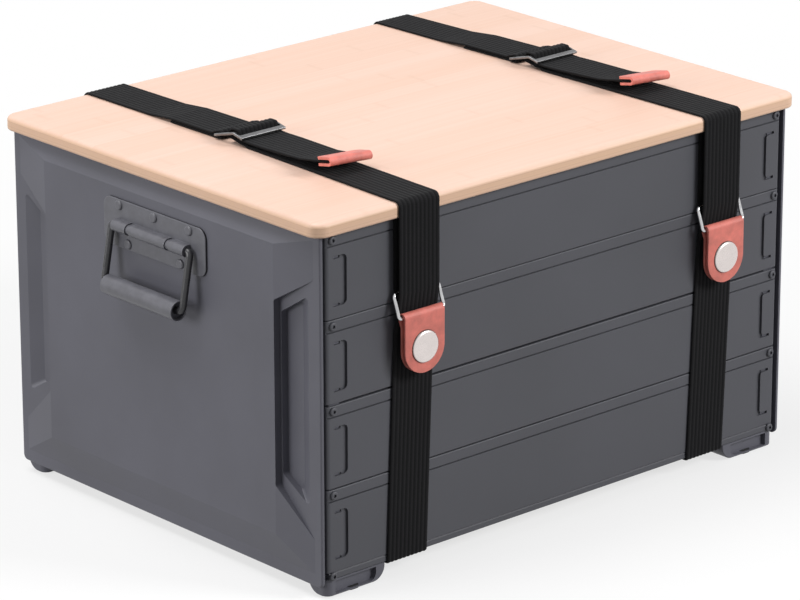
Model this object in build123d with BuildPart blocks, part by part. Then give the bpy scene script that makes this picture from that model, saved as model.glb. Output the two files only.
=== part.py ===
from build123d import *
import math
import os

os.makedirs("parts", exist_ok=True)

# Camping box: two moulded ends, planked walls, a loose board lid and two elastic straps.
# Millimetres. X runs along the box, the front looks along -Y, Z is up from the floor.

# Box
body_length = 515.0
body_width = 384.0
foot_height = 15.0
rail_height = 6.0
plank_pitch = 70.0
plank_count = 4
seams = (0.0, 0.9, 1.6, 0.5, 0.9)
fit_gap = 0.5

# Ends
end_wall = 3.0
end_drop = 5.0
end_corner = 5.0
end_edge = 1.4
flange_reach = 20.5
flange_gap = 5.0
field_rise = 6.0
rim_side = 8.0
rim_top = 4.4
facet_side = 40.0
facet_below = 23.0
facet_above = 11.0
notch_inner_below = 64.2
notch_inner_above = 61.2
notch_outer_below = 28.5
notch_outer_above = 37.1
pocket_ledge = 2.3
pocket_width = 32.1
pocket_ramp = 12.4
pocket_depth = 5.5
pocket_inner_below = 73.7
pocket_inner_above = 71.3
pocket_outer_below = 54.7
pocket_outer_above = 50.9
pocket_corner = 3.0

# Planks and rails
plank_wall = 2.0
plank_depth = 8.0
plank_end_gap = 3.1
plank_return = 4.0
plank_end_radius = 3.6
plank_edge = 0.8
flange_end_gap = 1.0
band_height = 10.0
groove_width = 1.2
groove_depth = 1.5
slot_end_gap = 7.8
slot_reach = 13.7
slot_height = 41.0
slot_above_joint = 10.5
slot_leg = 4.8
slot_leg_depth = 1.9
slot_backing = 1.0
slot_arm = 2.3
slot_slit = 8.0
slot_corner = 4.4
slot_inner_corner = 2.4
rail_shelf_thickness = 3.0
rail_shelf_depth = 20.0
rail_end_gap = 5.0
rail_edge = 1.5
rail_top_edge = 1.0
floor_thickness = 6.0

# Wall screws
screw_head_radius = 3.6
screw_head_height = 2.0
screw_head_edge = 1.4
screw_radius = 1.5
screw_length = 8.0
screw_clearance = 0.06
socket_radius = 1.5
socket_depth = 1.3
plank_screw_inset = 6.4
rail_screw_inset = 3.5

# Feet
foot_length = 61.5
foot_width = 22.0
foot_front_gap = 0.5
foot_end_gap = 2.0
foot_round = 12.0
foot_corner = 7.0
foot_edge = 1.0
foot_recess = 4.0
foot_recess_margin = 1.5
foot_recess_inset = 9.5
pad_thickness = 3.0
pad_proud = 1.0
pad_length = 40.0
pad_width = 7.0
pad_shift = 6.0
pad_corner = 3.0

# Lid
lid_overhang_x = 7.5
lid_overhang_y = 6.0
lid_thickness = 12.0
lid_corner = 12.0
lid_top_edge = 4.0
lid_bottom_edge = 2.0
batten_width = 18.0
batten_height = 14.0
batten_corner = 2.0
batten_end_gap = 1.0
batten_side_gap = 1.5
batten_screw_spacing = 140.0
batten_screw_radius = 2.0
batten_screw_head = 3.8
batten_screw_bite = 8.0

# Handles
plate_width = 128.0
plate_height = 40.5
plate_drop = 24.0
plate_corner = 9.0
plate_thickness = 2.0
plate_edge = 0.8
barrel_drop = 21.0
barrel_stand = 5.5
barrel_radius = 5.0
barrel_half_length = 45.5
waist_radius = 4.0
waist_place = 25.0
waist_length = 5.0
rivet_radius = 2.0
rivet_head_radius = 4.2
rivet_head_height = 1.6
rivet_head_edge = 1.44
rivet_edge = 5.0
rivet_top_spacing = 44.0
rivet_low_spacing = 66.0
bail_wire = 6.0
bail_half_width = 49.4
bail_end = 30.0
bail_bend = 3.4
bail_foot_bend = 5.5
grip_radius = 8.25
grip_wall = 1.4
grip_edge = 0.56
grip_half_length = 45.0
grip_drop = 48.0
grip_swing = 9.0
grip_bush_inset = 4.0
grip_bush_length = 8.0
running_gap = 0.08

# Straps
strap_end_insets = (96.5, 82.7)
strap_glide_offsets = (5.0, -4.5)
strap_rear_offsets = (2.4, -14.0)
strap_foot_offset = -8.0
strap_width = 42.6
webbing = 2.0
soft_gap = 0.3
strap_bend = 4.8
strap_lap = 2.0
ring_drops = (62.5, 65.0)
ring_length = 18.7
ring_top_stand = 2.9
ring_bottom_stand = 9.8
ring_wire = 3.2
ring_width = 50.2
ring_corner = 2.8
keeper_thickness = 1.0
keeper_loop_gap = 0.2
keeper_rivet_drop = 16.0
keeper_rivet_spacing = 24.0
wall_touch_drop = 95.0
front_fixed_drop = 53.0
rear_fixed_drop = 151.0
soft_bend = 8.0
tail_bend = 20.0
fold_bend = 12.0
tight_bend = 2.5
hump_bend = 1.6
rear_bend = 10.0
hairline = 0.01

# Leather tab and snap
leather = 2.0
tab_width = 41.4
tab_length = 48.2
tab_fold_gap = 0.35
tab_neck = 5.0
tab_join = 8.0
tab_stand = 10.15
leaf_gap = 1.6
leather_bend = 2.0
snap_drop = 26.4
snap_radius = 13.7
snap_dome = 3.0
snap_edge = 2.7
snap_post = 2.0
snap_socket_radius = 6.5
snap_bore = 3.6
snap_socket_depth = 3.3
stud_radius = 2.8
stud_base_radius = 6.0
stud_base = 0.8
stud_post = 3.5
stud_shank = 1.5

# Tri-glide, seen from the side an arch over its centre bar, and strap tip on the lid
glide_width = 47.2
glide_sheet = 2.2
glide_front = -7.0
glide_peak = 4.0
glide_back = 28.0
glide_front_rise = 7.6
glide_peak_rise = 10.0
glide_back_rise = 3.4
glide_front_bar = 4.0
glide_centre_bar = (2.0, 6.5)
glide_back_bar = 4.0
glide_side_bar = 1.9
glide_corner = 4.0
glide_arch_bend = 4.0
glide_edge = 0.7
glide_wrap = 2.4
glide_lead = 7.0
riser_start = 12.0
riser_turn = 14.0
riser_rise = 5.6
riser_top = 8.6
fall_start = 0.8
fall_foot = 2.5
fold_end = 86.0
fold_step = 28.0
tail_rises = (5.4, 4.8, 6.3)
tail_dip = 5.7
tail_turn = 76.0
tail_end = 113.5
tip_width = 43.5
tip_length = 18.0
tip_back = 100.0
tip_leather = 2.2
tip_lift = 9.7
tip_inside = 3.0
tip_pitch = 11.5
tip_corner = 5.0

# Worked out from the sizes above
half_length = body_length / 2
half_width = body_width / 2
rail_bottom = foot_height
rail_top = rail_bottom + rail_height
wall_top = rail_top + plank_count * plank_pitch
lid_top = wall_top + lid_thickness
end_bottom = rail_bottom - end_drop
shelf_top = rail_bottom + rail_shelf_thickness
rim_inner = half_length - end_wall
field_face = half_length + field_rise
facet_half_width = half_width - rim_side
facet_bottom = rail_top
facet_top = wall_top - rim_top
field_half_width = facet_half_width - facet_side
field_bottom = facet_bottom + facet_below
field_top = facet_top - facet_above
pocket_inner = field_half_width + pocket_ledge
pocket_outer = pocket_inner + pocket_width
pocket_floor_outer = pocket_outer - pocket_ramp
pocket_floor_x = half_length - pocket_depth
flange_inner = half_length - flange_reach
flange_face = half_width - flange_gap
plank_back = half_width - plank_wall
plank_end = rim_inner - plank_end_gap
pad_end = plank_end - plank_end_radius
plank_flange_end = flange_inner - flange_end_gap
slot_arm_end = plank_end - slot_end_gap
slot_leg_edge = slot_arm_end - slot_reach
slit_x = slot_arm_end - slot_slit / 2
slit_rise = (slot_height - slot_arm) / 2
plank_screw_x = plank_end - plank_screw_inset
rail_end = rim_inner - rail_end_gap
rail_screw_x = rail_end - rail_screw_inset
foot_outer = rim_inner - foot_end_gap
foot_centre_x = foot_outer - foot_length / 2
foot_centre_y = half_width - foot_front_gap - foot_width / 2
batten_outer = flange_inner - batten_end_gap
batten_half_length = half_width - plank_depth - batten_side_gap
batten_x = batten_outer - batten_width / 2
plate_top = wall_top - plate_drop
plate_bottom = plate_top - plate_height
barrel_x = field_face + barrel_stand
barrel_height = plate_top - barrel_drop
grip_x = barrel_x + grip_swing
grip_height = barrel_height - grip_drop
rivet_places = [(y * rivet_top_spacing, plate_top - rivet_edge) for y in (-1, 0, 1)]
rivet_places += [(y * rivet_low_spacing / 2, plate_bottom + rivet_edge) for y in (-1, 1)]
keeper_rivet_height = wall_top - keeper_rivet_drop
wall_touch_height = wall_top - wall_touch_drop
front_fixed_height = wall_top - front_fixed_drop
rear_fixed_height = wall_top - rear_fixed_drop
strap_places = (strap_end_insets[0] - half_length, half_length - strap_end_insets[1])
strap_tops = [wall_top - drop for drop in ring_drops]
strap_stand = lid_overhang_y + webbing / 2
keeper_bore = ring_wire / 2 + keeper_loop_gap
tab_fold = ring_wire / 2 + tab_fold_gap + leather / 2
front_leaf = tab_stand + (leather + leaf_gap) / 2
back_leaf = tab_stand - (leather + leaf_gap) / 2
tab_face = front_leaf + leather / 2
tab_back = back_leaf - leather / 2
lower_layer = lid_top + webbing / 2
upper_layer = lower_layer + webbing + soft_gap
glide_slope = (glide_peak_rise - glide_front_rise) / (glide_peak - glide_front)
glide_fall = (glide_peak_rise - glide_back_rise) / (glide_back - glide_peak)
glide_half = glide_sheet / 2 * math.hypot(1, glide_fall)
over_glide = glide_half + soft_gap + webbing / 2
tip_half = (tip_inside + tip_leather) / 2
tip_sine = math.sin(math.radians(tip_pitch))
tip_cosine = math.cos(math.radians(tip_pitch))
tail_tip = lid_top + tip_lift
tail_rise = (tail_end - tip_back) * tip_sine / tip_cosine

# The tab's cap reaches further in front than the strap does behind, and the frame's
# origin is the middle of the whole footprint, so the box itself sits a little back.
front_reach = half_width + tab_face + snap_dome
rear_reach = half_width + lid_overhang_y + webbing
middle_y = (front_reach - rear_reach) / 2

floor_plane = Plane(origin=(0, middle_y, 0), x_dir=(1, 0, 0), z_dir=(0, 0, 1))
side_plane = Plane(origin=(0, middle_y, 0), x_dir=(0, 1, 0), z_dir=(1, 0, 0))
front_plane = Plane(origin=(0, middle_y, 0), x_dir=(1, 0, 0), z_dir=(0, -1, 0))


def save(part, name):
    """Label a finished piece and write it out."""
    part.label = name
    export_step(part, f"parts/{name}.step")


def mirrored(part, about):
    """The same piece on the other side of the box."""
    with BuildPart() as copy:
        mirror(part, about=about)
    return copy.part


def span(low, high):
    """Middle and length of a stretch."""
    return (low + high) / 2, high - low


def between(stations, place):
    """The value at a place on the straight line through two stations, each a (place, value)."""
    (start, first), (stop, last) = stations
    return first + (last - first) * (place - start) / (stop - start)


def wall_screw_places():
    """Screw places on the front wall, as (x, z): one in each plank's band and one in the rail."""
    bands = [rail_top + plank_pitch * (level + 1) - band_height / 2 for level in range(plank_count)]
    right = [(plank_screw_x, z) for z in bands] + [(rail_screw_x, rail_bottom + rail_height / 2)]
    return right + [(-x, z) for x, z in right]


def slot_middle(level):
    """Height of the middle of a plank's pressed tongues."""
    return rail_top + level * plank_pitch + slot_above_joint + slot_height / 2


# Ends


# The notches cut the raised field back to the rim at its sides, and a pocket is sunk in each.
# Their ends follow slanting lines, each given by its height at two distances from the middle.
notch_lines = (
    ((field_half_width, rail_top + notch_inner_below), (facet_half_width, rail_top + notch_outer_below)),
    ((field_half_width, wall_top - notch_inner_above), (facet_half_width, wall_top - notch_outer_above)),
)
pocket_lines = (
    ((pocket_inner, rail_top + pocket_inner_below), (pocket_outer, rail_top + pocket_outer_below)),
    ((pocket_inner, wall_top - pocket_inner_above), (pocket_outer, wall_top - pocket_outer_above)),
)


def slanted_outlines(lines, inner, outer, corner, grow):
    """Both sides' outlines between two distances from the middle, grown by a wall, on the sketch's plane."""
    low, high = lines
    with BuildSketch(mode=Mode.PRIVATE) as outlines:
        with BuildLine():
            Polyline(
                (inner, between(low, inner)),
                (outer, between(low, outer)),
                (outer, between(high, outer)),
                (inner, between(high, inner)),
                close=True,
            )
        make_face()
        fillet(vertices(), corner)
        if grow:
            offset(amount=grow, mode=Mode.REPLACE)
        mirror(about=Plane.YZ)
    return outlines.sketch


def notch_prism(grow, start):
    """Both notches, grown by a wall, from a distance off the box's middle to clear of the field."""
    outer = facet_half_width + 2 * pocket_corner
    with BuildPart() as prism:
        with BuildSketch(side_plane.offset(start)):
            add(slanted_outlines(notch_lines, field_half_width, outer, pocket_corner, grow))
        extrude(amount=field_face + end_wall - start)
    return prism.part


def pocket_hollow(grow):
    """Both pockets, grown by a wall: a flat floor, and a ramp up to the rim on the outer side."""
    with BuildPart() as hollow:
        for side in (0, 1):
            for distance, outer in ((pocket_floor_x - grow, pocket_floor_outer), (half_length, pocket_outer)):
                outlines = slanted_outlines(pocket_lines, pocket_inner, outer, pocket_corner, grow)
                with BuildSketch(side_plane.offset(distance)):
                    add(outlines.faces().sort_by(Axis.X)[-side])
            loft(ruled=True)
    return hollow.part


def field_frustum(inset, start, stop):
    """The raised field with its slanting facets, set in by a wall thickness."""
    with BuildPart() as frustum:
        for distance, half, bottom, top in (
            (start, facet_half_width - inset, facet_bottom + inset, facet_top - inset),
            (stop, field_half_width - inset, field_bottom + inset, field_top - inset),
        ):
            middle, height = span(bottom, top)
            with BuildSketch(side_plane.offset(distance)):
                with Locations((0, middle)):
                    Rectangle(2 * half, height)
        loft(ruled=True)
    return frustum.part


outer_frustum = field_frustum(0, half_length, field_face)
inner_frustum = field_frustum(end_wall, rim_inner, field_face - end_wall)

with BuildPart() as end_block:
    rim_middle, rim_height = span(end_bottom, wall_top)
    with BuildSketch(side_plane.offset(rim_inner)):
        with Locations((0, rim_middle)):
            Rectangle(body_width, rim_height)
        fillet(vertices().group_by(Axis.Y)[0], end_corner)
    extrude(amount=end_wall)
    fillet(edges().group_by(Axis.X)[-1], end_edge)
    core_middle, core_height = span(rail_bottom, wall_top)
    with BuildSketch(side_plane.offset(flange_inner)):
        with Locations((0, core_middle)):
            Rectangle(2 * flange_face, core_height)
    extrude(amount=rim_inner - flange_inner)
    add(outer_frustum)

with BuildPart() as end_tubs:
    add(notch_prism(end_wall, rim_inner))
    add(pocket_hollow(end_wall))
    add(end_block.part, mode=Mode.INTERSECT)

with BuildPart() as end_panel:
    add(end_block.part)
    hollow_middle, hollow_height = span(shelf_top, wall_top - end_wall)
    with BuildSketch(side_plane.offset(flange_inner)):
        with Locations((0, hollow_middle)):
            Rectangle(2 * (flange_face - end_wall), hollow_height)
    extrude(amount=rim_inner - flange_inner, mode=Mode.SUBTRACT)
    add(inner_frustum, mode=Mode.SUBTRACT)
    add(end_tubs.part)
    add(notch_prism(0, half_length), mode=Mode.SUBTRACT)
    add(pocket_hollow(0), mode=Mode.SUBTRACT)
    # Pads under the planks' ends
    pad_middle, pad_length = span(flange_inner, pad_end)
    with BuildSketch(front_plane.offset(flange_face)):
        with Locations((pad_middle, core_middle)):
            Rectangle(pad_length, core_height)
    extrude(amount=plank_back - flange_face)
    with BuildSketch(front_plane.offset(flange_face - end_wall)):
        with Locations(*[place for place in wall_screw_places() if place[0] > 0]):
            Circle(screw_radius + screw_clearance)
    extrude(amount=plank_back - flange_face + end_wall, mode=Mode.SUBTRACT)
    with BuildSketch(side_plane.offset(field_face - 2 * end_wall)):
        with Locations(*rivet_places):
            Circle(rivet_radius + screw_clearance)
    extrude(amount=3 * end_wall, mode=Mode.SUBTRACT)

# The back half of the flange is the front half's mirror image
with BuildPart() as end_panel_right:
    add(end_panel.part)
    split(bisect_by=front_plane, keep=Keep.TOP)
    mirror(about=front_plane)

save(end_panel_right.part, "end_panel_right")
save(mirrored(end_panel_right.part, Plane.YZ), "end_panel_left")


# Planks and rails


def front_plank(level):
    """One plank of the front wall: a face with turned-in ends and two flanges."""
    low = rail_top + level * plank_pitch + seams[level] / 2
    high = rail_top + (level + 1) * plank_pitch - seams[level + 1] / 2
    groove = rail_top + (level + 1) * plank_pitch - band_height
    tongue = slot_middle(level)
    frame_middle, frame_length = span(slot_leg_edge, slot_arm_end)
    tongue_length = frame_length - slot_leg + 2 * slot_inner_corner
    face_line = half_width - plank_wall / 2
    end_line = plank_end - plank_wall / 2
    with BuildPart() as plank:
        with BuildSketch(floor_plane.offset(low)):
            with BuildLine():
                FilletPolyline(
                    (-end_line, plank_return - half_width),
                    (-end_line, -face_line),
                    (end_line, -face_line),
                    (end_line, plank_return - half_width),
                    radius=plank_end_radius - plank_wall / 2,
                )
            trace(line_width=plank_wall)
        extrude(amount=high - low)
        fillet(faces().sort_by(Axis.Y)[0].edges().filter_by(Axis.X), plank_edge)
        for edge in (low, high - plank_wall):
            with BuildSketch(floor_plane.offset(edge)):
                with Locations((0, plank_depth / 2 + plank_wall / 2 - half_width)):
                    Rectangle(2 * plank_flange_end, plank_depth - plank_wall)
            extrude(amount=plank_wall)
        with BuildSketch(front_plane.offset(half_width - groove_depth)):
            with Locations((0, groove)):
                Rectangle(body_length, groove_width)
        extrude(amount=groove_depth, mode=Mode.SUBTRACT)
        # Pressed tongues at the ends: a leg with rounded corners, its back thickened, and two arms cut through
        with BuildSketch(front_plane.offset(plank_back - slot_backing)):
            with Locations((slot_leg_edge + slot_leg / 2, tongue)):
                Rectangle(slot_leg + 2 * slot_backing, slot_height + 2 * slot_backing)
            mirror(about=Plane.YZ)
        extrude(amount=slot_backing)
        with BuildSketch(front_plane.offset(half_width - slot_leg_depth)):
            with Locations((frame_middle, tongue)):
                Rectangle(frame_length, slot_height)
            fillet(vertices().group_by(Axis.X)[0], slot_corner)
            with Locations((slot_leg_edge + slot_leg + tongue_length / 2, tongue)):
                RectangleRounded(
                    tongue_length, slot_height - 2 * slot_arm, slot_inner_corner, mode=Mode.SUBTRACT
                )
            mirror(about=Plane.YZ)
        extrude(amount=slot_leg_depth, mode=Mode.SUBTRACT)
        with BuildSketch(front_plane.offset(plank_back)):
            for side in (-1, 1):
                for arm in (-1, 1):
                    with Locations((side * slit_x, tongue + arm * slit_rise)):
                        Rectangle(slot_slit, slot_arm)
        extrude(amount=plank_wall, mode=Mode.SUBTRACT)
        with BuildSketch(front_plane.offset(plank_back)):
            screw_height = groove + band_height / 2
            with Locations((-plank_screw_x, screw_height), (plank_screw_x, screw_height)):
                Circle(screw_radius + screw_clearance)
        extrude(amount=plank_wall, mode=Mode.SUBTRACT)
        if level == plank_count - 1:
            with BuildSketch(front_plane.offset(plank_back)):
                with Locations(*keeper_rivet_places()):
                    Circle(screw_radius + screw_clearance)
            extrude(amount=plank_wall, mode=Mode.SUBTRACT)
    return plank.part


def keeper_rivet_places():
    """Rivet places of the two keeper webs on the front wall, as (x, z)."""
    half = keeper_rivet_spacing / 2
    return [(x + side * half, keeper_rivet_height) for x in strap_places for side in (-1, 1)]


def front_rail():
    """The bottom rail: a narrow face, and a shelf behind it that carries the floor."""
    rail_face = rail_height - seams[0] / 2
    with BuildPart() as rail:
        with BuildSketch(side_plane):
            with Locations((plank_wall / 2 - half_width, rail_bottom + rail_face / 2)):
                Rectangle(plank_wall, rail_face)
        extrude(amount=rail_end, both=True)
        fillet(edges().filter_by(Axis.X).group_by(Axis.Z)[0].sort_by(Axis.Y)[0], rail_edge)
        chamfer(edges().filter_by(Axis.X).group_by(Axis.Z)[-1].sort_by(Axis.Y)[0], rail_top_edge)
        with BuildSketch(floor_plane.offset(rail_bottom)):
            with Locations((0, rail_shelf_depth / 2 - plank_back)):
                Rectangle(2 * plank_flange_end, rail_shelf_depth)
        extrude(amount=rail_shelf_thickness)
        with BuildSketch(front_plane.offset(plank_back)):
            middle = rail_bottom + rail_height / 2
            with Locations((-rail_screw_x, middle), (rail_screw_x, middle)):
                Circle(screw_radius + screw_clearance)
        extrude(amount=plank_wall, mode=Mode.SUBTRACT)
    return rail.part


for level in range(plank_count):
    plank = front_plank(level)
    save(plank, f"front_plank_{level + 1}")
    save(mirrored(plank, front_plane), f"back_plank_{level + 1}")
rail = front_rail()
save(rail, "front_rail")
save(mirrored(rail, front_plane), "back_rail")

with BuildPart() as floor_panel:
    with BuildSketch(floor_plane.offset(shelf_top)):
        Rectangle(2 * (rim_inner - fit_gap), 2 * (flange_face - 2 * end_wall - fit_gap))
    extrude(amount=floor_thickness)
save(floor_panel.part, "floor_panel")

# Wall screws, driven through a plank or rail into the end's flange
with BuildPart() as front_screws:
    with BuildSketch(front_plane.offset(half_width - screw_length)):
        with Locations(*wall_screw_places()):
            Circle(screw_radius)
    extrude(amount=screw_length)
    with BuildSketch(front_plane.offset(half_width)):
        with Locations(*wall_screw_places()):
            Circle(screw_head_radius)
    extrude(amount=screw_head_height)
    fillet(edges().group_by(Axis.Y)[0], screw_head_edge)
    with BuildSketch(front_plane.offset(half_width + screw_head_height - socket_depth)):
        with Locations(*wall_screw_places()):
            RegularPolygon(socket_radius, 6)
    extrude(amount=socket_depth, mode=Mode.SUBTRACT)
save(front_screws.part, "front_screws")
save(mirrored(front_screws.part, front_plane), "back_screws")

# Feet, made for the front right corner, moved to the back and mirrored to the left
with BuildPart() as foot_pad:
    with BuildSketch(floor_plane):
        with Locations((foot_centre_x, -foot_centre_y - pad_shift)):
            RectangleRounded(pad_length, pad_width, pad_corner)
    extrude(amount=pad_thickness)

with BuildPart() as foot:
    foot_middle, foot_body = span(pad_proud, foot_height)
    with BuildSketch(front_plane.offset(foot_centre_y - foot_width / 2)):
        with Locations((foot_centre_x, foot_middle)):
            Rectangle(foot_length, foot_body)
        fillet(vertices().group_by(Axis.Y)[0].sort_by(Axis.X)[0], foot_round)
    extrude(amount=foot_width)
    # Rounded up at the back, seen from the end
    with BuildSketch(side_plane.offset(foot_centre_x - foot_length / 2)):
        with Locations((-foot_centre_y, foot_middle)):
            Rectangle(foot_width, foot_body)
        fillet(vertices().group_by(Axis.Y)[0].sort_by(Axis.X)[-1], foot_round)
    extrude(amount=foot_length, mode=Mode.INTERSECT)
    # Rounded at the box's corner, seen from above
    with BuildSketch(floor_plane):
        with Locations((foot_centre_x, -foot_centre_y)):
            Rectangle(foot_length, foot_width)
        fillet(vertices().group_by(Axis.Y)[0].sort_by(Axis.X)[-1], foot_corner)
    extrude(amount=foot_height, mode=Mode.INTERSECT)
    fillet(faces().sort_by(Axis.Y)[0].edges().group_by(Axis.Z)[0], foot_edge)
    with BuildSketch(front_plane.offset(foot_centre_y + foot_width / 2 - foot_recess)):
        with Locations((foot_centre_x, foot_middle)):
            Rectangle(foot_length - 2 * foot_recess_inset, foot_body - 2 * foot_recess_margin)
        fillet(vertices().group_by(Axis.Y)[0].sort_by(Axis.X)[0], foot_round - foot_recess_margin - foot_recess)
    extrude(amount=foot_recess, mode=Mode.SUBTRACT)
    add(foot_pad.part, mode=Mode.SUBTRACT)

to_back = Location((0, 2 * foot_centre_y, 0))
foot_back = foot.part.moved(to_back)
save(foot.part, "foot_front_right")
save(foot_back, "foot_back_right")
save(mirrored(foot.part, Plane.YZ), "foot_front_left")
save(mirrored(foot_back, Plane.YZ), "foot_back_left")

with BuildPart() as foot_pads:
    add(foot_pad.part)
    add(foot_pad.part.moved(to_back))
    mirror(about=Plane.YZ)
save(foot_pads.part, "foot_pads")


# Lid

batten_screw_places = [
    (side * batten_x, row * batten_screw_spacing) for side in (-1, 1) for row in (-1, 0, 1)
]
batten_bottom = wall_top - batten_height
screw_tip = wall_top + batten_screw_bite

with BuildPart() as lid_board:
    with BuildSketch(floor_plane.offset(wall_top)):
        RectangleRounded(body_length + 2 * lid_overhang_x, body_width + 2 * lid_overhang_y, lid_corner)
    extrude(amount=lid_thickness)
    fillet(edges().group_by(Axis.Z)[-1], lid_top_edge)
    fillet(edges().group_by(Axis.Z)[0], lid_bottom_edge)
    with BuildSketch(floor_plane.offset(wall_top)):
        with Locations(*batten_screw_places):
            Circle(batten_screw_radius + screw_clearance)
    extrude(amount=batten_screw_bite + screw_clearance, mode=Mode.SUBTRACT)
save(lid_board.part, "lid_board")

head_depth = batten_screw_head - batten_screw_radius
with BuildPart() as batten:
    with BuildSketch(floor_plane.offset(batten_bottom)):
        with Locations((batten_x, 0)):
            RectangleRounded(batten_width, 2 * batten_half_length, batten_corner)
    extrude(amount=batten_height)
    for places in [place for place in batten_screw_places if place[0] > 0]:
        with BuildSketch(floor_plane.offset(batten_bottom)):
            with Locations(places):
                Circle(batten_screw_head + screw_clearance)
        with BuildSketch(floor_plane.offset(batten_bottom + head_depth)):
            with Locations(places):
                Circle(batten_screw_radius + screw_clearance)
        loft(mode=Mode.SUBTRACT)
        with BuildSketch(floor_plane.offset(batten_bottom)):
            with Locations(places):
                Circle(batten_screw_radius + screw_clearance)
        extrude(amount=batten_height, mode=Mode.SUBTRACT)
save(batten.part, "lid_batten_right")
save(mirrored(batten.part, Plane.YZ), "lid_batten_left")

with BuildPart() as batten_screws:
    for place in batten_screw_places:
        with BuildSketch(floor_plane.offset(batten_bottom)):
            with Locations(place):
                Circle(batten_screw_head)
        with BuildSketch(floor_plane.offset(batten_bottom + head_depth)):
            with Locations(place):
                Circle(batten_screw_radius)
        loft()
        with BuildSketch(floor_plane.offset(batten_bottom)):
            with Locations(place):
                Circle(batten_screw_radius)
        extrude(amount=screw_tip - batten_bottom)
save(batten_screws.part, "batten_screws")


# Handles, made for the right end and mirrored to the left

bail_radius = bail_wire / 2
bore_radius = bail_radius + running_gap

with BuildPart() as handle_plate:
    with BuildSketch(side_plane.offset(field_face)):
        with Locations((0, plate_top - plate_height / 2)):
            RectangleRounded(plate_width, plate_height, plate_corner)
    extrude(amount=plate_thickness)
    fillet(edges().group_by(Axis.X)[-1], plate_edge)
    with BuildSketch(front_plane.offset(-barrel_half_length)) as barrel_section:
        with Locations((barrel_x, barrel_height)):
            Circle(barrel_radius)
            with Locations((-barrel_stand / 2, 0)):
                Rectangle(barrel_stand, 2 * barrel_radius)
    extrude(amount=2 * barrel_half_length)
    # Two pressed waists divide the barrel into three lobes
    for place in (-waist_place, waist_place):
        with BuildSketch(front_plane.offset(place - waist_length / 2)):
            with Locations((barrel_x, barrel_height)):
                Rectangle(4 * barrel_radius, 4 * barrel_radius)
                Circle(waist_radius, mode=Mode.SUBTRACT)
                with Locations((-barrel_stand, 0)):
                    Rectangle(2 * barrel_stand, 2 * waist_radius, mode=Mode.SUBTRACT)
            with Locations((field_face, barrel_height)):
                Rectangle(2 * plate_thickness, plate_height * 2, mode=Mode.SUBTRACT)
        extrude(amount=waist_length, mode=Mode.SUBTRACT)
    with BuildSketch(front_plane.offset(-barrel_half_length)):
        with Locations((barrel_x, barrel_height)):
            Circle(bore_radius)
    extrude(amount=2 * barrel_half_length, mode=Mode.SUBTRACT)
    with BuildSketch(side_plane.offset(field_face)):
        with Locations(*rivet_places):
            Circle(rivet_radius + screw_clearance)
    extrude(amount=plate_thickness, mode=Mode.SUBTRACT)

with BuildPart() as handle_rivets:
    rivet_back = field_face - end_wall
    rivet_front = field_face + plate_thickness
    with BuildSketch(side_plane.offset(rivet_back)):
        with Locations(*rivet_places):
            Circle(rivet_radius)
    extrude(amount=rivet_front - rivet_back)
    with BuildSketch(side_plane.offset(rivet_front)):
        with Locations(*rivet_places):
            Circle(rivet_head_radius)
    extrude(amount=rivet_head_height)
    fillet(edges().group_by(Axis.X)[-1], rivet_head_edge)
    with BuildSketch(side_plane.offset(rivet_back - rivet_head_height)):
        with Locations(*rivet_places):
            Circle(rivet_head_radius)
    extrude(amount=rivet_head_height)

bail_plane = Plane(
    origin=(barrel_x, middle_y, barrel_height),
    x_dir=(0, 1, 0),
    z_dir=(barrel_height - grip_height, 0, grip_x - barrel_x),
)
bail_drop = math.hypot(grip_x - barrel_x, barrel_height - grip_height)

with BuildPart() as bail:
    with BuildLine(bail_plane) as bail_path:
        FilletPolyline(
            (-bail_end, 0),
            (-bail_half_width, 0),
            (-bail_half_width, -bail_drop),
            (bail_half_width, -bail_drop),
            (bail_half_width, 0),
            (bail_end, 0),
            radius=[bail_bend, bail_foot_bend, bail_foot_bend, bail_bend],
        )
    with BuildSketch(Plane(origin=bail_path.line @ 0, z_dir=bail_path.line % 0)):
        Circle(bail_radius)
    sweep()

grip_axis = Axis((grip_x, middle_y, grip_height), (0, 1, 0))
grip_plane = Plane(origin=(grip_x, middle_y, grip_height), x_dir=(0, 1, 0), z_dir=(1, 0, 0))
with BuildPart() as grip:
    tube_middle = grip_radius - grip_wall / 2
    bush_outer = grip_radius - grip_wall
    bush_middle = grip_half_length - grip_bush_inset - grip_bush_length / 2
    bush_ring, bush_wall = span(bore_radius, bush_outer)
    with BuildSketch(grip_plane) as grip_section:
        with Locations((0, tube_middle)):
            RectangleRounded(2 * grip_half_length, grip_wall, grip_edge)
        with Locations((-bush_middle, bush_ring), (bush_middle, bush_ring)):
            Rectangle(grip_bush_length, bush_wall)
    revolve(axis=grip_axis)

handle_pieces = {"handle_plate": handle_plate, "handle_rivets": handle_rivets, "bail": bail, "grip": grip}
for name, piece in handle_pieces.items():
    save(piece.part, f"{name}_right")
    save(mirrored(piece.part, Plane.YZ), f"{name}_left")


# Straps


def webbing_run(plane, width, thickness, points, radius):
    """A flat length of webbing or leather that follows a centre line drawn on a plane through its middle."""
    with BuildPart() as run:
        with BuildSketch(plane):
            with BuildLine():
                if len(points) > 2:
                    FilletPolyline(*points, radius=radius)
                else:
                    Line(*points)
            trace(line_width=thickness)
        extrude(amount=width / 2, both=True)
    return run.part


def off_front(stand, height):
    """A point that stands off the front wall."""
    return (-half_width - stand, height)


def off_back(stand, height):
    """A point that stands off the back wall."""
    return (half_width + stand, height)


def rear_stand(height):
    """How far the rear run's centre stands off the wall: a straight pull from the lid's edge to the rail."""
    low = rail_bottom - webbing / 2
    return webbing / 2 + lid_overhang_y * (height - low) / (wall_top - 2 * strap_lap - low)


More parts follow.
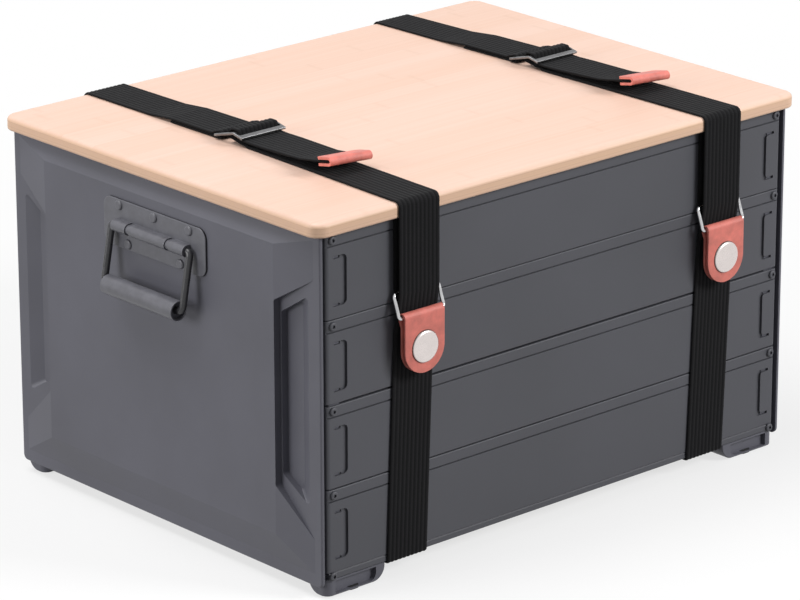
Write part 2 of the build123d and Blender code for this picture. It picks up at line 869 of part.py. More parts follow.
def band(plane, places, start, stop):
    """A strap's width along a line on a plane, as a prism between two distances from the plane."""
    left = [(across - strap_width / 2, along) for across, along in places]
    right = [(across + strap_width / 2, along) for across, along in reversed(places)]
    with BuildPart() as prism:
        with BuildSketch(plane.offset(start)):
            with BuildLine():
                Polyline(*left, *right, close=True)
            make_face()
        extrude(amount=stop - start)
    return prism.part


def lid_places(side):
    """A strap's line on the lid, as (x, y): straight through the tri-glide, leaning on either side."""
    x = strap_places[side]
    glide_x = x + strap_glide_offsets[side]
    rear_x = x + strap_rear_offsets[side]
    return [
        (x, -half_width - 2 * strap_stand),
        (x, -half_width),
        (glide_x, glide_front - glide_lead),
        (glide_x, glide_back + glide_lead),
        (rear_x, half_width),
        (rear_x, half_width + 2 * strap_stand),
    ]


def glide_height(y):
    """Height of the middle of the arched tri-glide's sheet."""
    if y < glide_peak:
        return lid_top + glide_peak_rise - glide_slope * (glide_peak - y)
    return lid_top + glide_peak_rise - glide_fall * (y - glide_peak)


def on_lid(side, points, bends):
    """A strap's run over the lid, along a centre line seen from the side, cut to its leaning width."""
    reach = strap_width + max(abs(offset) for offset in strap_glide_offsets + strap_rear_offsets)
    run = webbing_run(side_plane.offset(strap_places[side]), 2 * reach, webbing, points, bends)
    with BuildPart() as strap:
        add(run)
        add(band(floor_plane, lid_places(side), 0, 2 * lid_top), mode=Mode.INTERSECT)
    return strap.part


def strap_front_top(side):
    """Over the front of the lid, up over the tri-glide's centre bar and back as the tail."""
    hump = glide_height(glide_peak) + over_glide
    points = [
        off_front(strap_stand, wall_top - strap_lap),
        off_front(strap_stand, lower_layer),
        (-riser_start, lower_layer),
        (riser_turn, lower_layer + riser_rise - webbing / 2),
        (riser_top, hump),
        (glide_centre_bar[0] - fall_start, hump),
        (glide_centre_bar[0] - fall_foot, lid_top + tail_rises[0]),
        (glide_front - tail_dip, lid_top + tail_rises[1]),
        (-tail_turn, lid_top + tail_rises[2]),
        (-tip_back, tail_tip),
        (-tail_end, tail_tip + tail_rise),
    ]
    bends = [strap_bend, rear_bend, tight_bend, tight_bend, hump_bend, hump_bend, tail_bend, tail_bend, tail_bend]
    return on_lid(side, points, bends)


def strap_rear_top(side):
    """Over the rear of the lid, round the tri-glide's back bar and folded back under itself."""
    bar_front = glide_back - glide_back_bar - glide_wrap
    bar_back = glide_back + glide_wrap
    points = [
        (fold_end, lower_layer),
        (bar_front, lower_layer),
        (bar_front, glide_height(bar_front) + over_glide),
        (bar_back, glide_height(bar_back) + over_glide),
        (bar_back + 2 * webbing, upper_layer),
        (fold_end + webbing, upper_layer),
        (fold_end + webbing + fold_step, lower_layer),
        off_back(strap_stand, lower_layer),
        off_back(strap_stand, wall_top - strap_lap),
    ]
    bends = [tight_bend, tight_bend, webbing, webbing, fold_bend, fold_bend, strap_bend]
    return on_lid(side, points, bends)


def strap_under(side):
    """Down the front through the ring, under the box and up the back, clear of the feet."""
    x = strap_places[side]
    top = strap_tops[side]
    bottom = top - ring_length
    foot_x = x + strap_foot_offset
    rear_x = x + strap_rear_offsets[side]
    behind_ring = ring_bottom_stand - tab_fold - leather / 2 - 2 * soft_gap - webbing / 2
    points = [
        off_front(strap_stand, front_fixed_height),
        off_front(strap_stand, top),
        off_front(behind_ring, bottom),
        off_front(webbing / 2, wall_touch_height),
        off_front(webbing / 2, rail_bottom - webbing / 2),
        off_back(webbing / 2, rail_bottom - webbing / 2),
        off_back(rear_stand(rear_fixed_height), rear_fixed_height),
    ]
    bends = [soft_bend, soft_bend, soft_bend, webbing, webbing]
    reach = strap_width + abs(strap_foot_offset) + abs(strap_rear_offsets[side])
    run = webbing_run(side_plane.offset(x), 2 * reach, webbing, points, bends)
    far = half_width + 2 * strap_stand
    front_places = [(foot_x, 0), (foot_x, rail_bottom), (x, bottom), (x, wall_top)]
    under_places = [(foot_x, -far), (foot_x, -half_width), (rear_x, half_width), (rear_x, far)]
    with BuildPart() as region:
        add(band(front_plane, front_places, half_width, far))
        add(band(floor_plane, under_places, 0, rail_bottom))
        add(band(front_plane, [(rear_x, 0), (rear_x, wall_top)], -far, -half_width))
    with BuildPart() as under:
        add(run)
        add(region.part, mode=Mode.INTERSECT)
        with BuildSketch(floor_plane):
            with GridLocations(2 * foot_centre_x, 2 * foot_centre_y, 2, 2):
                Rectangle(foot_length + 2 * fit_gap, foot_width + 2 * fit_gap)
        extrude(amount=rail_bottom, mode=Mode.SUBTRACT)
        with BuildSketch(front_plane.offset(half_width)):
            with Locations((x, bottom - snap_drop)):
                Circle(stud_shank + screw_clearance)
        extrude(amount=webbing, mode=Mode.SUBTRACT)
    return under.part


def keeper_web(x, top):
    """Flat webbing on the top plank, with a loop at its lower end for the ring."""
    strip_middle, strip_height = span(top, wall_top - 2 * seams[-1])
    with BuildPart() as keeper:
        with BuildSketch(side_plane.offset(x)):
            with Locations(off_front(keeper_thickness / 2, strip_middle)):
                Rectangle(keeper_thickness, strip_height)
            with Locations(off_front(ring_top_stand, top)):
                Circle(keeper_bore + keeper_thickness)
                Circle(keeper_bore, mode=Mode.SUBTRACT)
        extrude(amount=strap_width / 2, both=True)
        with BuildSketch(front_plane.offset(half_width)):
            with Locations(*keeper_rivet_places()):
                Circle(screw_radius + screw_clearance)
        extrude(amount=keeper_thickness, mode=Mode.SUBTRACT)
    return keeper.part


def ring(x, top):
    """A closed wire ring: its top bar in the keeper's loop, its bottom bar in the leather's fold."""
    lean = ring_bottom_stand - ring_top_stand
    length = math.hypot(ring_length, lean)
    half = (ring_width - ring_wire) / 2
    plane = Plane(
        origin=(x, middle_y - half_width - ring_top_stand, top),
        x_dir=(1, 0, 0),
        z_dir=(0, -ring_length, lean),
    )
    with BuildPart() as wire:
        with BuildLine(plane) as path:
            FilletPolyline((0, 0), (half, 0), (half, -length), (-half, -length), (-half, 0), (0, 0),
                           radius=[0, ring_corner, ring_corner, ring_corner, ring_corner], close=True)
        with BuildSketch(Plane(origin=path.line @ 0, z_dir=path.line % 0)):
            Circle(ring_wire / 2)
        sweep()
    return wire.part


def leather_tab(x, top):
    """Leather folded over the ring's bottom bar, its two leaves held together by the snap."""
    bar = top - ring_length
    tab_bottom = bar - tab_length
    points = [
        off_front(front_leaf, tab_bottom - tab_width),
        off_front(front_leaf, bar - tab_join),
        off_front(ring_bottom_stand + tab_fold, bar - tab_fold),
        off_front(ring_bottom_stand + tab_fold, bar + tab_fold),
        off_front(ring_bottom_stand - tab_fold, bar + tab_fold),
        off_front(ring_bottom_stand - tab_fold, bar - tab_fold),
        off_front(back_leaf, bar - tab_join),
        off_front(back_leaf, tab_bottom - tab_width),
    ]
    fold = tab_fold - hairline
    bends = [leather_bend, leather_bend, fold, fold, leather_bend, leather_bend]
    folded = webbing_run(side_plane.offset(x), tab_width, leather, points, bends)
    neck = ring_width - 2 * ring_wire - 2 * ring_corner + ring_wire
    with BuildPart() as tab:
        with BuildSketch(front_plane.offset(half_width)):
            with Locations((x, tab_bottom + tab_width / 2)):
                Circle(tab_width / 2)
            body_middle, body_height = span(tab_bottom + tab_width / 2, bar - tab_neck)
            with Locations((x, body_middle)):
                Rectangle(tab_width, body_height)
            neck_middle, neck_height = span(bar - tab_neck, bar + 2 * tab_fold + leather)
            with Locations((x, neck_middle)):
                Rectangle(neck, neck_height)
        extrude(amount=tab_face + leather)
        add(folded, mode=Mode.INTERSECT)
        with BuildSketch(front_plane.offset(half_width)):
            with Locations((x, bar - snap_drop)):
                Circle(snap_post + screw_clearance)
        extrude(amount=tab_face + leather, mode=Mode.SUBTRACT)
    return tab.part


def snap_cap(x, height):
    """The snap's domed cap, with its post through both leaves."""
    with BuildPart() as cap:
        with BuildSketch(front_plane.offset(half_width + tab_face)):
            with Locations((x, height)):
                Circle(snap_radius)
        extrude(amount=snap_dome)
        fillet(edges().group_by(Axis.Y)[0], snap_edge)
        with BuildSketch(front_plane.offset(half_width + tab_back)):
            with Locations((x, height)):
                Circle(snap_post)
        extrude(amount=tab_face - tab_back)
    return cap.part


def snap_socket(x, height):
    """The snap's socket behind the tab, open towards the stud."""
    with BuildPart() as socket:
        with BuildSketch(front_plane.offset(half_width + tab_back - snap_socket_depth)):
            with Locations((x, height)):
                Circle(snap_socket_radius)
        extrude(amount=snap_socket_depth)
        with BuildSketch(front_plane.offset(half_width + tab_back - snap_socket_depth)):
            with Locations((x, height)):
                Circle(snap_bore)
        extrude(amount=snap_socket_depth - stud_base, mode=Mode.SUBTRACT)
    return socket.part


def tri_glide(x):
    """A metal frame with three bars and two slots, bent to an arch over its centre bar."""
    inner_width = glide_width - 2 * glide_side_bar
    slots = (
        (glide_front + glide_front_bar, glide_centre_bar[0]),
        (glide_centre_bar[1], glide_back - glide_back_bar),
    )
    with BuildPart() as glide:
        with BuildSketch(side_plane.offset(x - glide_width / 2)):
            with BuildLine():
                FilletPolyline(
                    (glide_front, glide_height(glide_front)),
                    (glide_peak, glide_height(glide_peak)),
                    (glide_back, glide_height(glide_back)),
                    radius=glide_arch_bend,
                )
            trace(line_width=glide_sheet)
        extrude(amount=glide_width)
        sides = faces().sort_by(Axis.X)[0].edges() + faces().sort_by(Axis.X)[-1].edges()
        across = edges().filter_by(Axis.X).sort_by(Axis.Y)
        fillet(sides + across[:2] + across[-2:], glide_edge)
        with BuildSketch(floor_plane.offset(lid_top)):
            middle, length = span(glide_front - glide_sheet, glide_back + glide_sheet)
            with Locations((x, middle)):
                RectangleRounded(glide_width, length, glide_corner)
            for low, high in slots:
                middle, length = span(low, high)
                with Locations((x, middle)):
                    RectangleRounded(inner_width, length, glide_side_bar / 2, mode=Mode.SUBTRACT)
        extrude(amount=2 * glide_peak_rise, mode=Mode.INTERSECT)
    return glide.part


def strap_tip(x):
    """Leather folded over the tail's end, with rounded corners, pitched up towards the front."""
    place = (x, middle_y - tip_back, tail_tip)
    section = Plane(origin=place, x_dir=(0, tip_cosine, -tip_sine), z_dir=(1, 0, 0))
    outline = Plane(origin=place, x_dir=(1, 0, 0), z_dir=(0, tip_sine, tip_cosine))
    fold = tip_leather / 2 - tip_length
    points = [(0, -tip_half), (fold, -tip_half), (fold, tip_half), (0, tip_half)]
    folded = webbing_run(section, tip_width, tip_leather, points, tip_half - hairline)
    with BuildPart() as tip:
        with BuildSketch(outline):
            with Locations((0, -tip_length / 2)):
                RectangleRounded(tip_width, tip_length, tip_corner)
        extrude(amount=tip_half + tip_leather, both=True)
        add(folded, mode=Mode.INTERSECT)
    return tip.part


for side, name in enumerate(("left", "right")):
    x = strap_places[side]
    top = strap_tops[side]
    snap_height = top - ring_length - snap_drop
    front_upper = [
        off_front(strap_stand, wall_top - strap_lap),
        off_front(strap_stand, front_fixed_height),
    ]
    rear_upper = [
        off_back(strap_stand, wall_top - strap_lap),
        off_back(strap_stand, wall_top - 2 * strap_lap),
        off_back(rear_stand(rear_fixed_height), rear_fixed_height),
    ]
    rear_x = x + strap_rear_offsets[side]
    glide_x = x + strap_glide_offsets[side]
    lean = ((-half_width, x), (glide_front - glide_lead, glide_x))
    save(strap_front_top(side), f"strap_front_top_{name}")
    save(strap_rear_top(side), f"strap_rear_top_{name}")
    front_run = webbing_run(side_plane.offset(x), strap_width, webbing, front_upper, 0)
    rear_run = webbing_run(side_plane.offset(rear_x), strap_width, webbing, rear_upper, rear_bend)
    save(front_run, f"strap_front_upper_{name}")
    save(rear_run, f"strap_rear_upper_{name}")
    save(strap_under(side), f"strap_under_{name}")
    save(tri_glide(glide_x), f"tri_glide_{name}")
    save(strap_tip(between(lean, -tail_end)), f"strap_tip_{name}")
    save(keeper_web(x, top), f"keeper_web_{name}")
    save(ring(x, top), f"ring_{name}")
    save(leather_tab(x, top), f"leather_tab_{name}")
    save(snap_cap(x, snap_height), f"snap_cap_{name}")
    save(snap_socket(x, snap_height), f"snap_socket_{name}")

snap_places = [(x, top - ring_length - snap_drop) for x, top in zip(strap_places, strap_tops)]
with BuildPart() as snap_studs:
    for radius, start, height in (
        (stud_shank, 0, webbing),
        (stud_base_radius, webbing, stud_base),
        (stud_radius, webbing + stud_base, stud_post),
    ):
        with BuildSketch(front_plane.offset(half_width + start)):
            with Locations(*snap_places):
                Circle(radius)
        extrude(amount=height)
save(snap_studs.part, "snap_studs")

with BuildPart() as keeper_rivets:
    for radius, start, height in (
        (screw_radius, -plank_wall, plank_wall + keeper_thickness),
        (2 * screw_radius, keeper_thickness, keeper_thickness),
        (2 * screw_radius, -plank_wall - keeper_thickness, keeper_thickness),
    ):
        with BuildSketch(front_plane.offset(half_width + start)):
            with Locations(*keeper_rivet_places()):
                Circle(radius)
        extrude(amount=height)
save(keeper_rivets.part, "keeper_rivets")
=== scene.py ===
import math

import bmesh
import bpy
from bpy.props import FloatProperty, FloatVectorProperty, IntProperty, PointerProperty
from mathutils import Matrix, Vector


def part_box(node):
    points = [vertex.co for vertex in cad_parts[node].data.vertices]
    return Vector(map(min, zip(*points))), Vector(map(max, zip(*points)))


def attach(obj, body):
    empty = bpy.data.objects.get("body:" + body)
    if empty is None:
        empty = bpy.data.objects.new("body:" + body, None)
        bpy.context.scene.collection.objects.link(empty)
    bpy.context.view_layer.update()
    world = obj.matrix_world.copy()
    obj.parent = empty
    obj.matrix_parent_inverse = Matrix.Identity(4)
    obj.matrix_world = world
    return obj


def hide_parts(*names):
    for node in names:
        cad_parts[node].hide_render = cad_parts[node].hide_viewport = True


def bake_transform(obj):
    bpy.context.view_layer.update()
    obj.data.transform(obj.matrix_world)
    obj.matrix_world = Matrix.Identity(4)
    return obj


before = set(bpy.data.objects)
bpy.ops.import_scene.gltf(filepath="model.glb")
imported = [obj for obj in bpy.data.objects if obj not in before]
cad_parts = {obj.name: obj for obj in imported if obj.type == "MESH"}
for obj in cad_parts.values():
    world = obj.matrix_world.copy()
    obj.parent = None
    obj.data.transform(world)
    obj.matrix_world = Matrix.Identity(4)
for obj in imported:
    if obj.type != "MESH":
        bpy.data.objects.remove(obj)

bl_info = {
    "name": "Camping box dress",
    "version": (1, 0, 0),
    "blender": (4, 5, 0),
    "location": "3D View > Sidebar > Camping box",
    "description": "Finishes, webbing, leather and stage for the camping storage box",
    "category": "Object",
}

MM = 0.001
SIDES = ("left", "right")
PLANKS = [f"{wall}_plank_{n}" for wall in ("front", "back") for n in (1, 2, 3, 4)]
FEET = [f"foot_{end}_{side}" for end in ("front", "back") for side in SIDES]

# The frame's own sizes that the soft pieces are laid against
BOARD_LOW, BOARD_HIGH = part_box("lid_board")
WALL_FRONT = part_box("front_plank_4")[0].y
WALL_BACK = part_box("back_plank_4")[1].y
MIDDLE_Y = (WALL_FRONT + WALL_BACK) / 2
HALF_WIDTH = (WALL_BACK - WALL_FRONT) / 2
WALL_TOP = BOARD_LOW.z
LID_TOP = BOARD_HIGH.z
RAIL_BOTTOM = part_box("front_rail")[0].z
BACK_FIXED = 150.0 * MM

# Each ring's wire, and the places of its two bars
RING_WIRE = 3.2 * MM
RING_STANDS = (2.9 * MM, 9.8 * MM)
STRAP_X = {side: (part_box(f"ring_{side}")[0].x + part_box(f"ring_{side}")[1].x) / 2 for side in SIDES}
RING_TOP = {side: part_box(f"ring_{side}")[1].z - RING_WIRE / 2 for side in SIDES}
RING_LOW = {side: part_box(f"ring_{side}")[0].z + RING_WIRE / 2 for side in SIDES}

# The back of the handles' plates, as a distance off the box's middle
PLATE_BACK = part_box("handle_plate_right")[0].x

# The snap caps, below the rings' lower bars
SNAP_DROP = 26.4 * MM
SNAP_RADIUS = 13.7 * MM

# The tri-glide, an arch over its centre bar: rises of its sheet's middle over the lid at three places
GLIDE_PLACE = {"front": -7.0, "peak": 4.0, "back": 28.0}
GLIDE_Y = {name: MIDDLE_Y + place * MM for name, place in GLIDE_PLACE.items()}
GLIDE_RISE = {"front": 7.6 * MM, "peak": 10.0 * MM, "back": 3.4 * MM}
GLIDE_X = {side: (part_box(f"tri_glide_{side}")[0].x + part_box(f"tri_glide_{side}")[1].x) / 2 for side in SIDES}
BACK_X = {side: (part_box(f"strap_rear_upper_{side}")[0].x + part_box(f"strap_rear_upper_{side}")[1].x) / 2
          for side in SIDES}
FOOT_LEAN = -8.0 * MM

# The strap tips: their back edge's place and rise, length, pitch up to the front, space inside and corner
TIP_BACK = -100.0 * MM
TIP_RISE = 9.7 * MM
TIP_LENGTH = 18.0 * MM
TIP_PITCH = math.radians(11.5)
TIP_INSIDE = 3.0 * MM
TIP_CORNER = 3.5 * MM

# The leather tabs: the fold's gap round the wire, the gap between the leaves and where the leaves meet
FOLD_GAP = 0.35 * MM
LEAF_GAP = 1.6 * MM
TAB_JOIN = 8.0 * MM


class BoxFinishes(bpy.types.PropertyGroup):
    moulded: FloatVectorProperty(
        name="Moulded ends", description="Colour of the two moulded end panels",
        default=(0.110, 0.110, 0.134), subtype="COLOR", min=0.0, max=1.0)
    painted: FloatVectorProperty(
        name="Powder coat", description="Colour of the planks and rails",
        default=(0.067, 0.068, 0.080), subtype="COLOR", min=0.0, max=1.0)
    bamboo_light: FloatVectorProperty(
        name="Bamboo, light", description="Colour of the lid's palest strips",
        default=(0.90, 0.645, 0.53), subtype="COLOR", min=0.0, max=1.0)
    bamboo_dark: FloatVectorProperty(
        name="Bamboo, dark", description="Colour of the lid's darkest strips",
        default=(0.84, 0.555, 0.42), subtype="COLOR", min=0.0, max=1.0)
    bamboo_edge: FloatVectorProperty(
        name="Bamboo, edge", description="Colour of the lid's cut edges",
        default=(0.88, 0.58, 0.38), subtype="COLOR", min=0.0, max=1.0)
    webbing: FloatVectorProperty(
        name="Webbing", description="Colour of the elastic webbing",
        default=(0.0058, 0.0057, 0.0064), subtype="COLOR", min=0.0, max=1.0)
    leather: FloatVectorProperty(
        name="Leather", description="Colour of the tabs and strap tips",
        default=(0.76, 0.215, 0.174), subtype="COLOR", min=0.0, max=1.0)
    handle: FloatVectorProperty(
        name="Handle enamel", description="Colour of the handles' enamelled metal",
        default=(0.138, 0.138, 0.158), subtype="COLOR", min=0.0, max=1.0)
    bail: FloatVectorProperty(
        name="Bail enamel", description="Colour of the bails' bent wire",
        default=(0.030, 0.030, 0.034), subtype="COLOR", min=0.0, max=1.0)
    nickel: FloatVectorProperty(
        name="Nickel", description="Colour of the snap caps",
        default=(0.70, 0.64, 0.62), subtype="COLOR", min=0.0, max=1.0)
    dark_nickel: FloatVectorProperty(
        name="Dark nickel", description="Colour of the slides",
        default=(0.21, 0.21, 0.215), subtype="COLOR", min=0.0, max=1.0)
    wire: FloatVectorProperty(
        name="Bright wire", description="Colour of the rings' polished wire",
        default=(0.55, 0.55, 0.56), subtype="COLOR", min=0.0, max=1.0)
    steel: FloatVectorProperty(
        name="Steel", description="Colour of the screws and rivets",
        default=(0.16, 0.165, 0.18), subtype="COLOR", min=0.0, max=1.0)


class StrapSizes(bpy.types.PropertyGroup):
    width: FloatProperty(
        name="Width", description="Width of the elastic webbing", default=0.0426, unit="LENGTH", min=0.01)
    thickness: FloatProperty(
        name="Thickness", description="Thickness of the webbing", default=0.002, unit="LENGTH", min=0.0005)
    keeper_thickness: FloatProperty(
        name="Keeper thickness", description="Thickness of the webbing that holds the ring",
        default=0.0010, unit="LENGTH", min=0.0005)
    ribs: IntProperty(name="Ribs", description="Ribs across the webbing", default=10, min=1)
    rib_depth: FloatProperty(
        name="Rib depth", description="Depth of the grooves between ribs", default=0.00035,
        unit="LENGTH", min=0.0)
    step: FloatProperty(
        name="Step", description="Distance between sections along the webbing", default=0.005, unit="LENGTH",
        min=0.001)


class LeatherSizes(bpy.types.PropertyGroup):
    thickness: FloatProperty(
        name="Tab leather", description="Thickness of the tab's leather", default=0.002,
        unit="LENGTH", min=0.0005)
    tip_thickness: FloatProperty(
        name="Tip leather", description="Thickness of the strap tip's leather", default=0.0022, unit="LENGTH",
        min=0.0005)
    edge: FloatProperty(
        name="Edge", description="Rounding of the leather's cut edges", default=0.00045, unit="LENGTH", min=0.0)


class StageSizes(bpy.types.PropertyGroup):
    lens: FloatProperty(name="Lens", description="Focal length of the camera in millimetres", default=206.64)
    camera_place: FloatVectorProperty(
        name="Camera place", description="Where the camera stands", default=(-2.42863, -2.70729, 1.40993),
        subtype="TRANSLATION", unit="LENGTH")
    camera_target: FloatVectorProperty(
        name="Camera target", description="The point that the camera looks at",
        default=(0.02662, 0.03732, 0.12585),
        subtype="TRANSLATION", unit="LENGTH")
    camera_roll: FloatProperty(
        name="Camera roll", description="Turn of the camera about its axis", default=math.radians(-0.116),
        unit="ROTATION")
    floor_radius: FloatProperty(
        name="Floor radius", description="Radius of the pale floor", default=9.0, unit="LENGTH", min=1.0)
    top_power: FloatProperty(
        name="Top power", description="Power of the overhead softbox in watts", default=53.0)
    left_power: FloatProperty(
        name="Left power", description="Power of the low softbox on the left in watts", default=29.0)
    right_power: FloatProperty(
        name="Right power", description="Power of the softbox in front on the right in watts", default=70.0)
    ambient: FloatProperty(name="Ambient", description="Strength of the plain white surround", default=0.22)
    floor_bounce: FloatProperty(
        name="Floor bounce", description="How pale the floor is to the light that it throws back", default=0.10)


# Node helpers


def put(tree, kind, inputs=(), **settings):
    """Adds a node, sets its properties and feeds its inputs from values or sockets."""
    made = tree.nodes.new(kind)
    for key, value in settings.items():
        setattr(made, key, value)
    for key, value in dict(inputs).items():
        if isinstance(value, bpy.types.NodeSocket):
            tree.links.new(value, made.inputs[key])
        else:
            made.inputs[key].default_value = value
    return made


def calc(tree, operation, *values, clamp=False):
    """A math node's result."""
    made = put(tree, "ShaderNodeMath", dict(enumerate(values)), operation=operation, use_clamp=clamp)
    return made.outputs[0]


def rgba(colour):
    return (*colour, 1.0)


def new_material(name):
    """An empty node material with a Principled shader, its tree and the shader."""
    made = bpy.data.materials.new(name)
    made.use_nodes = True
    tree = made.node_tree
    tree.nodes.clear()
    shader = put(tree, "ShaderNodeBsdfPrincipled")
    out = put(tree, "ShaderNodeOutputMaterial", {"Surface": shader.outputs[0]})
    out.is_active_output = True
    return made, tree, shader


def object_point(tree, scale=(1.0, 1.0, 1.0)):
    """Object coordinates, stretched by a scale."""
    place = put(tree, "ShaderNodeTexCoord")
    turned = put(tree, "ShaderNodeMapping", {"Vector": place.outputs["Object"], "Scale": scale})
    return turned.outputs[0]


def noise(tree, vector, scale, detail=3.0, roughness=0.5):
    made = put(tree, "ShaderNodeTexNoise",
               {"Vector": vector, "Scale": scale, "Detail": detail, "Roughness": roughness})
    return made.outputs["Fac"]


def spread(tree, value, low, high, new_low=0.0, new_high=1.0):
    """Maps a value's range onto another, clamped."""
    made = put(tree, "ShaderNodeMapRange", {0: value, 1: low, 2: high, 3: new_low, 4: new_high})
    return made.outputs[0]


def mixed(tree, factor, first, second, blend="MIX"):
    """A mix of two colours."""
    made = put(tree, "ShaderNodeMix", {"Factor": factor}, data_type="RGBA", blend_type=blend)
    for key, value in ((6, first), (7, second)):
        if isinstance(value, bpy.types.NodeSocket):
            tree.links.new(value, made.inputs[key])
        else:
            made.inputs[key].default_value = value
    return made.outputs[2]


def bumped(tree, shader, height, distance, strength=1.0, below=None):
    inputs = {"Height": height, "Distance": distance, "Strength": strength}
    if below is not None:
        inputs["Normal"] = below
    made = put(tree, "ShaderNodeBump", inputs)
    tree.links.new(made.outputs[0], shader.inputs["Normal"])
    return made.outputs[0]


def tinted(tree, shader, colour, value, lighter, darker):
    """Feeds a shader its colour, made lighter and darker by a noise."""
    light = tuple(min(1.0, lighter * c) for c in colour)
    dark = tuple(darker * c for c in colour)
    shade = mixed(tree, spread(tree, value, 0.3, 0.7), rgba(dark), rgba(light))
    tree.links.new(shade, shader.inputs["Base Color"])

def roughened(tree, shader, value, low, high):
    """Feeds a shader its roughness from a noise."""
    tree.links.new(spread(tree, value, 0.3, 0.7, low, high), shader.inputs["Roughness"])

def laid_over(made, where, colour):
    """Lays a colour over a material's own, where a value is one."""
    tree = made.node_tree
    shader = next(node for node in tree.nodes if node.type == "BSDF_PRINCIPLED")
    own = shader.inputs["Base Color"].links[0].from_socket
    tree.links.new(mixed(tree, where, own, rgba(colour)), shader.inputs["Base Color"])
    return made

def thin_line(tree, value, width):
    """One where a value is nought, falling to nought at a width."""
    return calc(tree, "SUBTRACT", 1.0, spread(tree, value, 0.0, width))

# Finishes


def moulded_finish(colour):
    """Satin moulded resin: a fine spark-eroded texture and a faint cloudiness."""
    made, tree, shader = new_material("Moulded resin")
    place = object_point(tree)
    cloud = noise(tree, place, 9.0, 4.0)
    fine = noise(tree, place, 1500.0, 2.0)
    tinted(tree, shader, colour, cloud, 1.16, 0.88)
    roughened(tree, shader, cloud, 0.44, 0.52)
    bumped(tree, shader, fine, 0.00006)
    return made


def painted_finish(colour):
    """Satin powder coat on the pressed planks, with a soft orange peel."""
    made, tree, shader = new_material("Powder coat")
    place = object_point(tree)
    cloud = noise(tree, place, 7.0, 4.0)
    peel = noise(tree, place, 420.0, 2.0)
    fine = noise(tree, place, 1900.0, 1.0)
    tinted(tree, shader, colour, cloud, 1.12, 0.90)
    roughened(tree, shader, cloud, 0.46, 0.54)
    coarse = put(tree, "ShaderNodeBump", {"Height": peel, "Distance": 0.00005})
    bumped(tree, shader, fine, 0.00003, below=coarse.outputs[0])
    return made


def bamboo_finish(light, dark, edge):
    """Glued bamboo strips along the board, with fibres, knuckles and laminated edges."""
    made, tree, shader = new_material("Bamboo board")
    place = put(tree, "ShaderNodeTexCoord").outputs["Object"]
    apart = put(tree, "ShaderNodeSeparateXYZ", {0: place})
    x, y, z = apart.outputs
    strip_width = 0.0205
    row = calc(tree, "DIVIDE", y, strip_width)
    strip = calc(tree, "FLOOR", row)
    across = calc(tree, "FRACT", row)
    tone = put(tree, "ShaderNodeTexWhiteNoise", {"W": strip}, noise_dimensions="1D").outputs["Value"]
    shift = put(tree, "ShaderNodeTexWhiteNoise", {"W": calc(tree, "ADD", strip, 31.7)},
                noise_dimensions="1D").outputs["Value"]
    fibre_place = put(tree, "ShaderNodeCombineXYZ",
                      {0: calc(tree, "MULTIPLY", x, 5.0), 1: calc(tree, "MULTIPLY", y, 420.0),
                       2: calc(tree, "MULTIPLY", z, 420.0)}).outputs[0]
    fibre = noise(tree, fibre_place, 1.0, 5.0, 0.6)
    streak_place = put(tree, "ShaderNodeCombineXYZ",
                       {0: calc(tree, "MULTIPLY", x, 2.2), 1: calc(tree, "MULTIPLY", y, 90.0),
                        2: calc(tree, "ADD", tone, calc(tree, "MULTIPLY", z, 90.0))}).outputs[0]
    streak = noise(tree, streak_place, 1.0, 3.0)
    knuckle_pitch = 0.23
    along = calc(tree, "FRACT", calc(tree, "ADD", calc(tree, "DIVIDE", x, knuckle_pitch), shift))
    knuckle = thin_line(tree, calc(tree, "ABSOLUTE", calc(tree, "SUBTRACT", along, 0.5)), 0.016)
    seam = thin_line(tree, calc(tree, "MINIMUM", across, calc(tree, "SUBTRACT", 1.0, across)), 0.02)
    mix_in = calc(tree, "ADD", calc(tree, "MULTIPLY", tone, 0.42), calc(tree, "MULTIPLY", streak, 0.50))
    mix_in = calc(tree, "ADD", mix_in, calc(tree, "MULTIPLY", spread(tree, fibre, 0.35, 0.7), 0.22))
    top = mixed(tree, calc(tree, "SUBTRACT", mix_in, 0.15, clamp=True), rgba(light), rgba(dark))
    brown = (0.50, 0.27, 0.13, 1.0)
    top = mixed(tree, calc(tree, "MULTIPLY", knuckle, 0.10), top, brown)
    top = mixed(tree, calc(tree, "MULTIPLY", seam, 0.14), top, brown)
    geometry = put(tree, "ShaderNodeNewGeometry").outputs["Normal"]
    upright = put(tree, "ShaderNodeSeparateXYZ", {0: geometry}).outputs[2]
    side = calc(tree, "SUBTRACT", 1.0, spread(tree, calc(tree, "ABSOLUTE", upright), 0.35, 0.8))
    ply = calc(tree, "FRACT", calc(tree, "DIVIDE", calc(tree, "SUBTRACT", z, WALL_TOP), 0.0040))
    glue = thin_line(tree, calc(tree, "MINIMUM", ply, calc(tree, "SUBTRACT", 1.0, ply)), 0.09)
    cut = mixed(tree, spread(tree, fibre, 0.35, 0.7, 0.0, 0.55), rgba(edge), rgba(dark))
    cut = mixed(tree, calc(tree, "MULTIPLY", glue, 0.35), cut, brown)
    tree.links.new(mixed(tree, calc(tree, "MULTIPLY", side, 0.85), top, cut), shader.inputs["Base Color"])
    tree.links.new(spread(tree, fibre, 0.3, 0.7, 0.40, 0.55), shader.inputs["Roughness"])
    height = calc(tree, "SUBTRACT", fibre, calc(tree, "MULTIPLY", seam, 0.8))
    bumped(tree, shader, height, 0.00005)
    return made


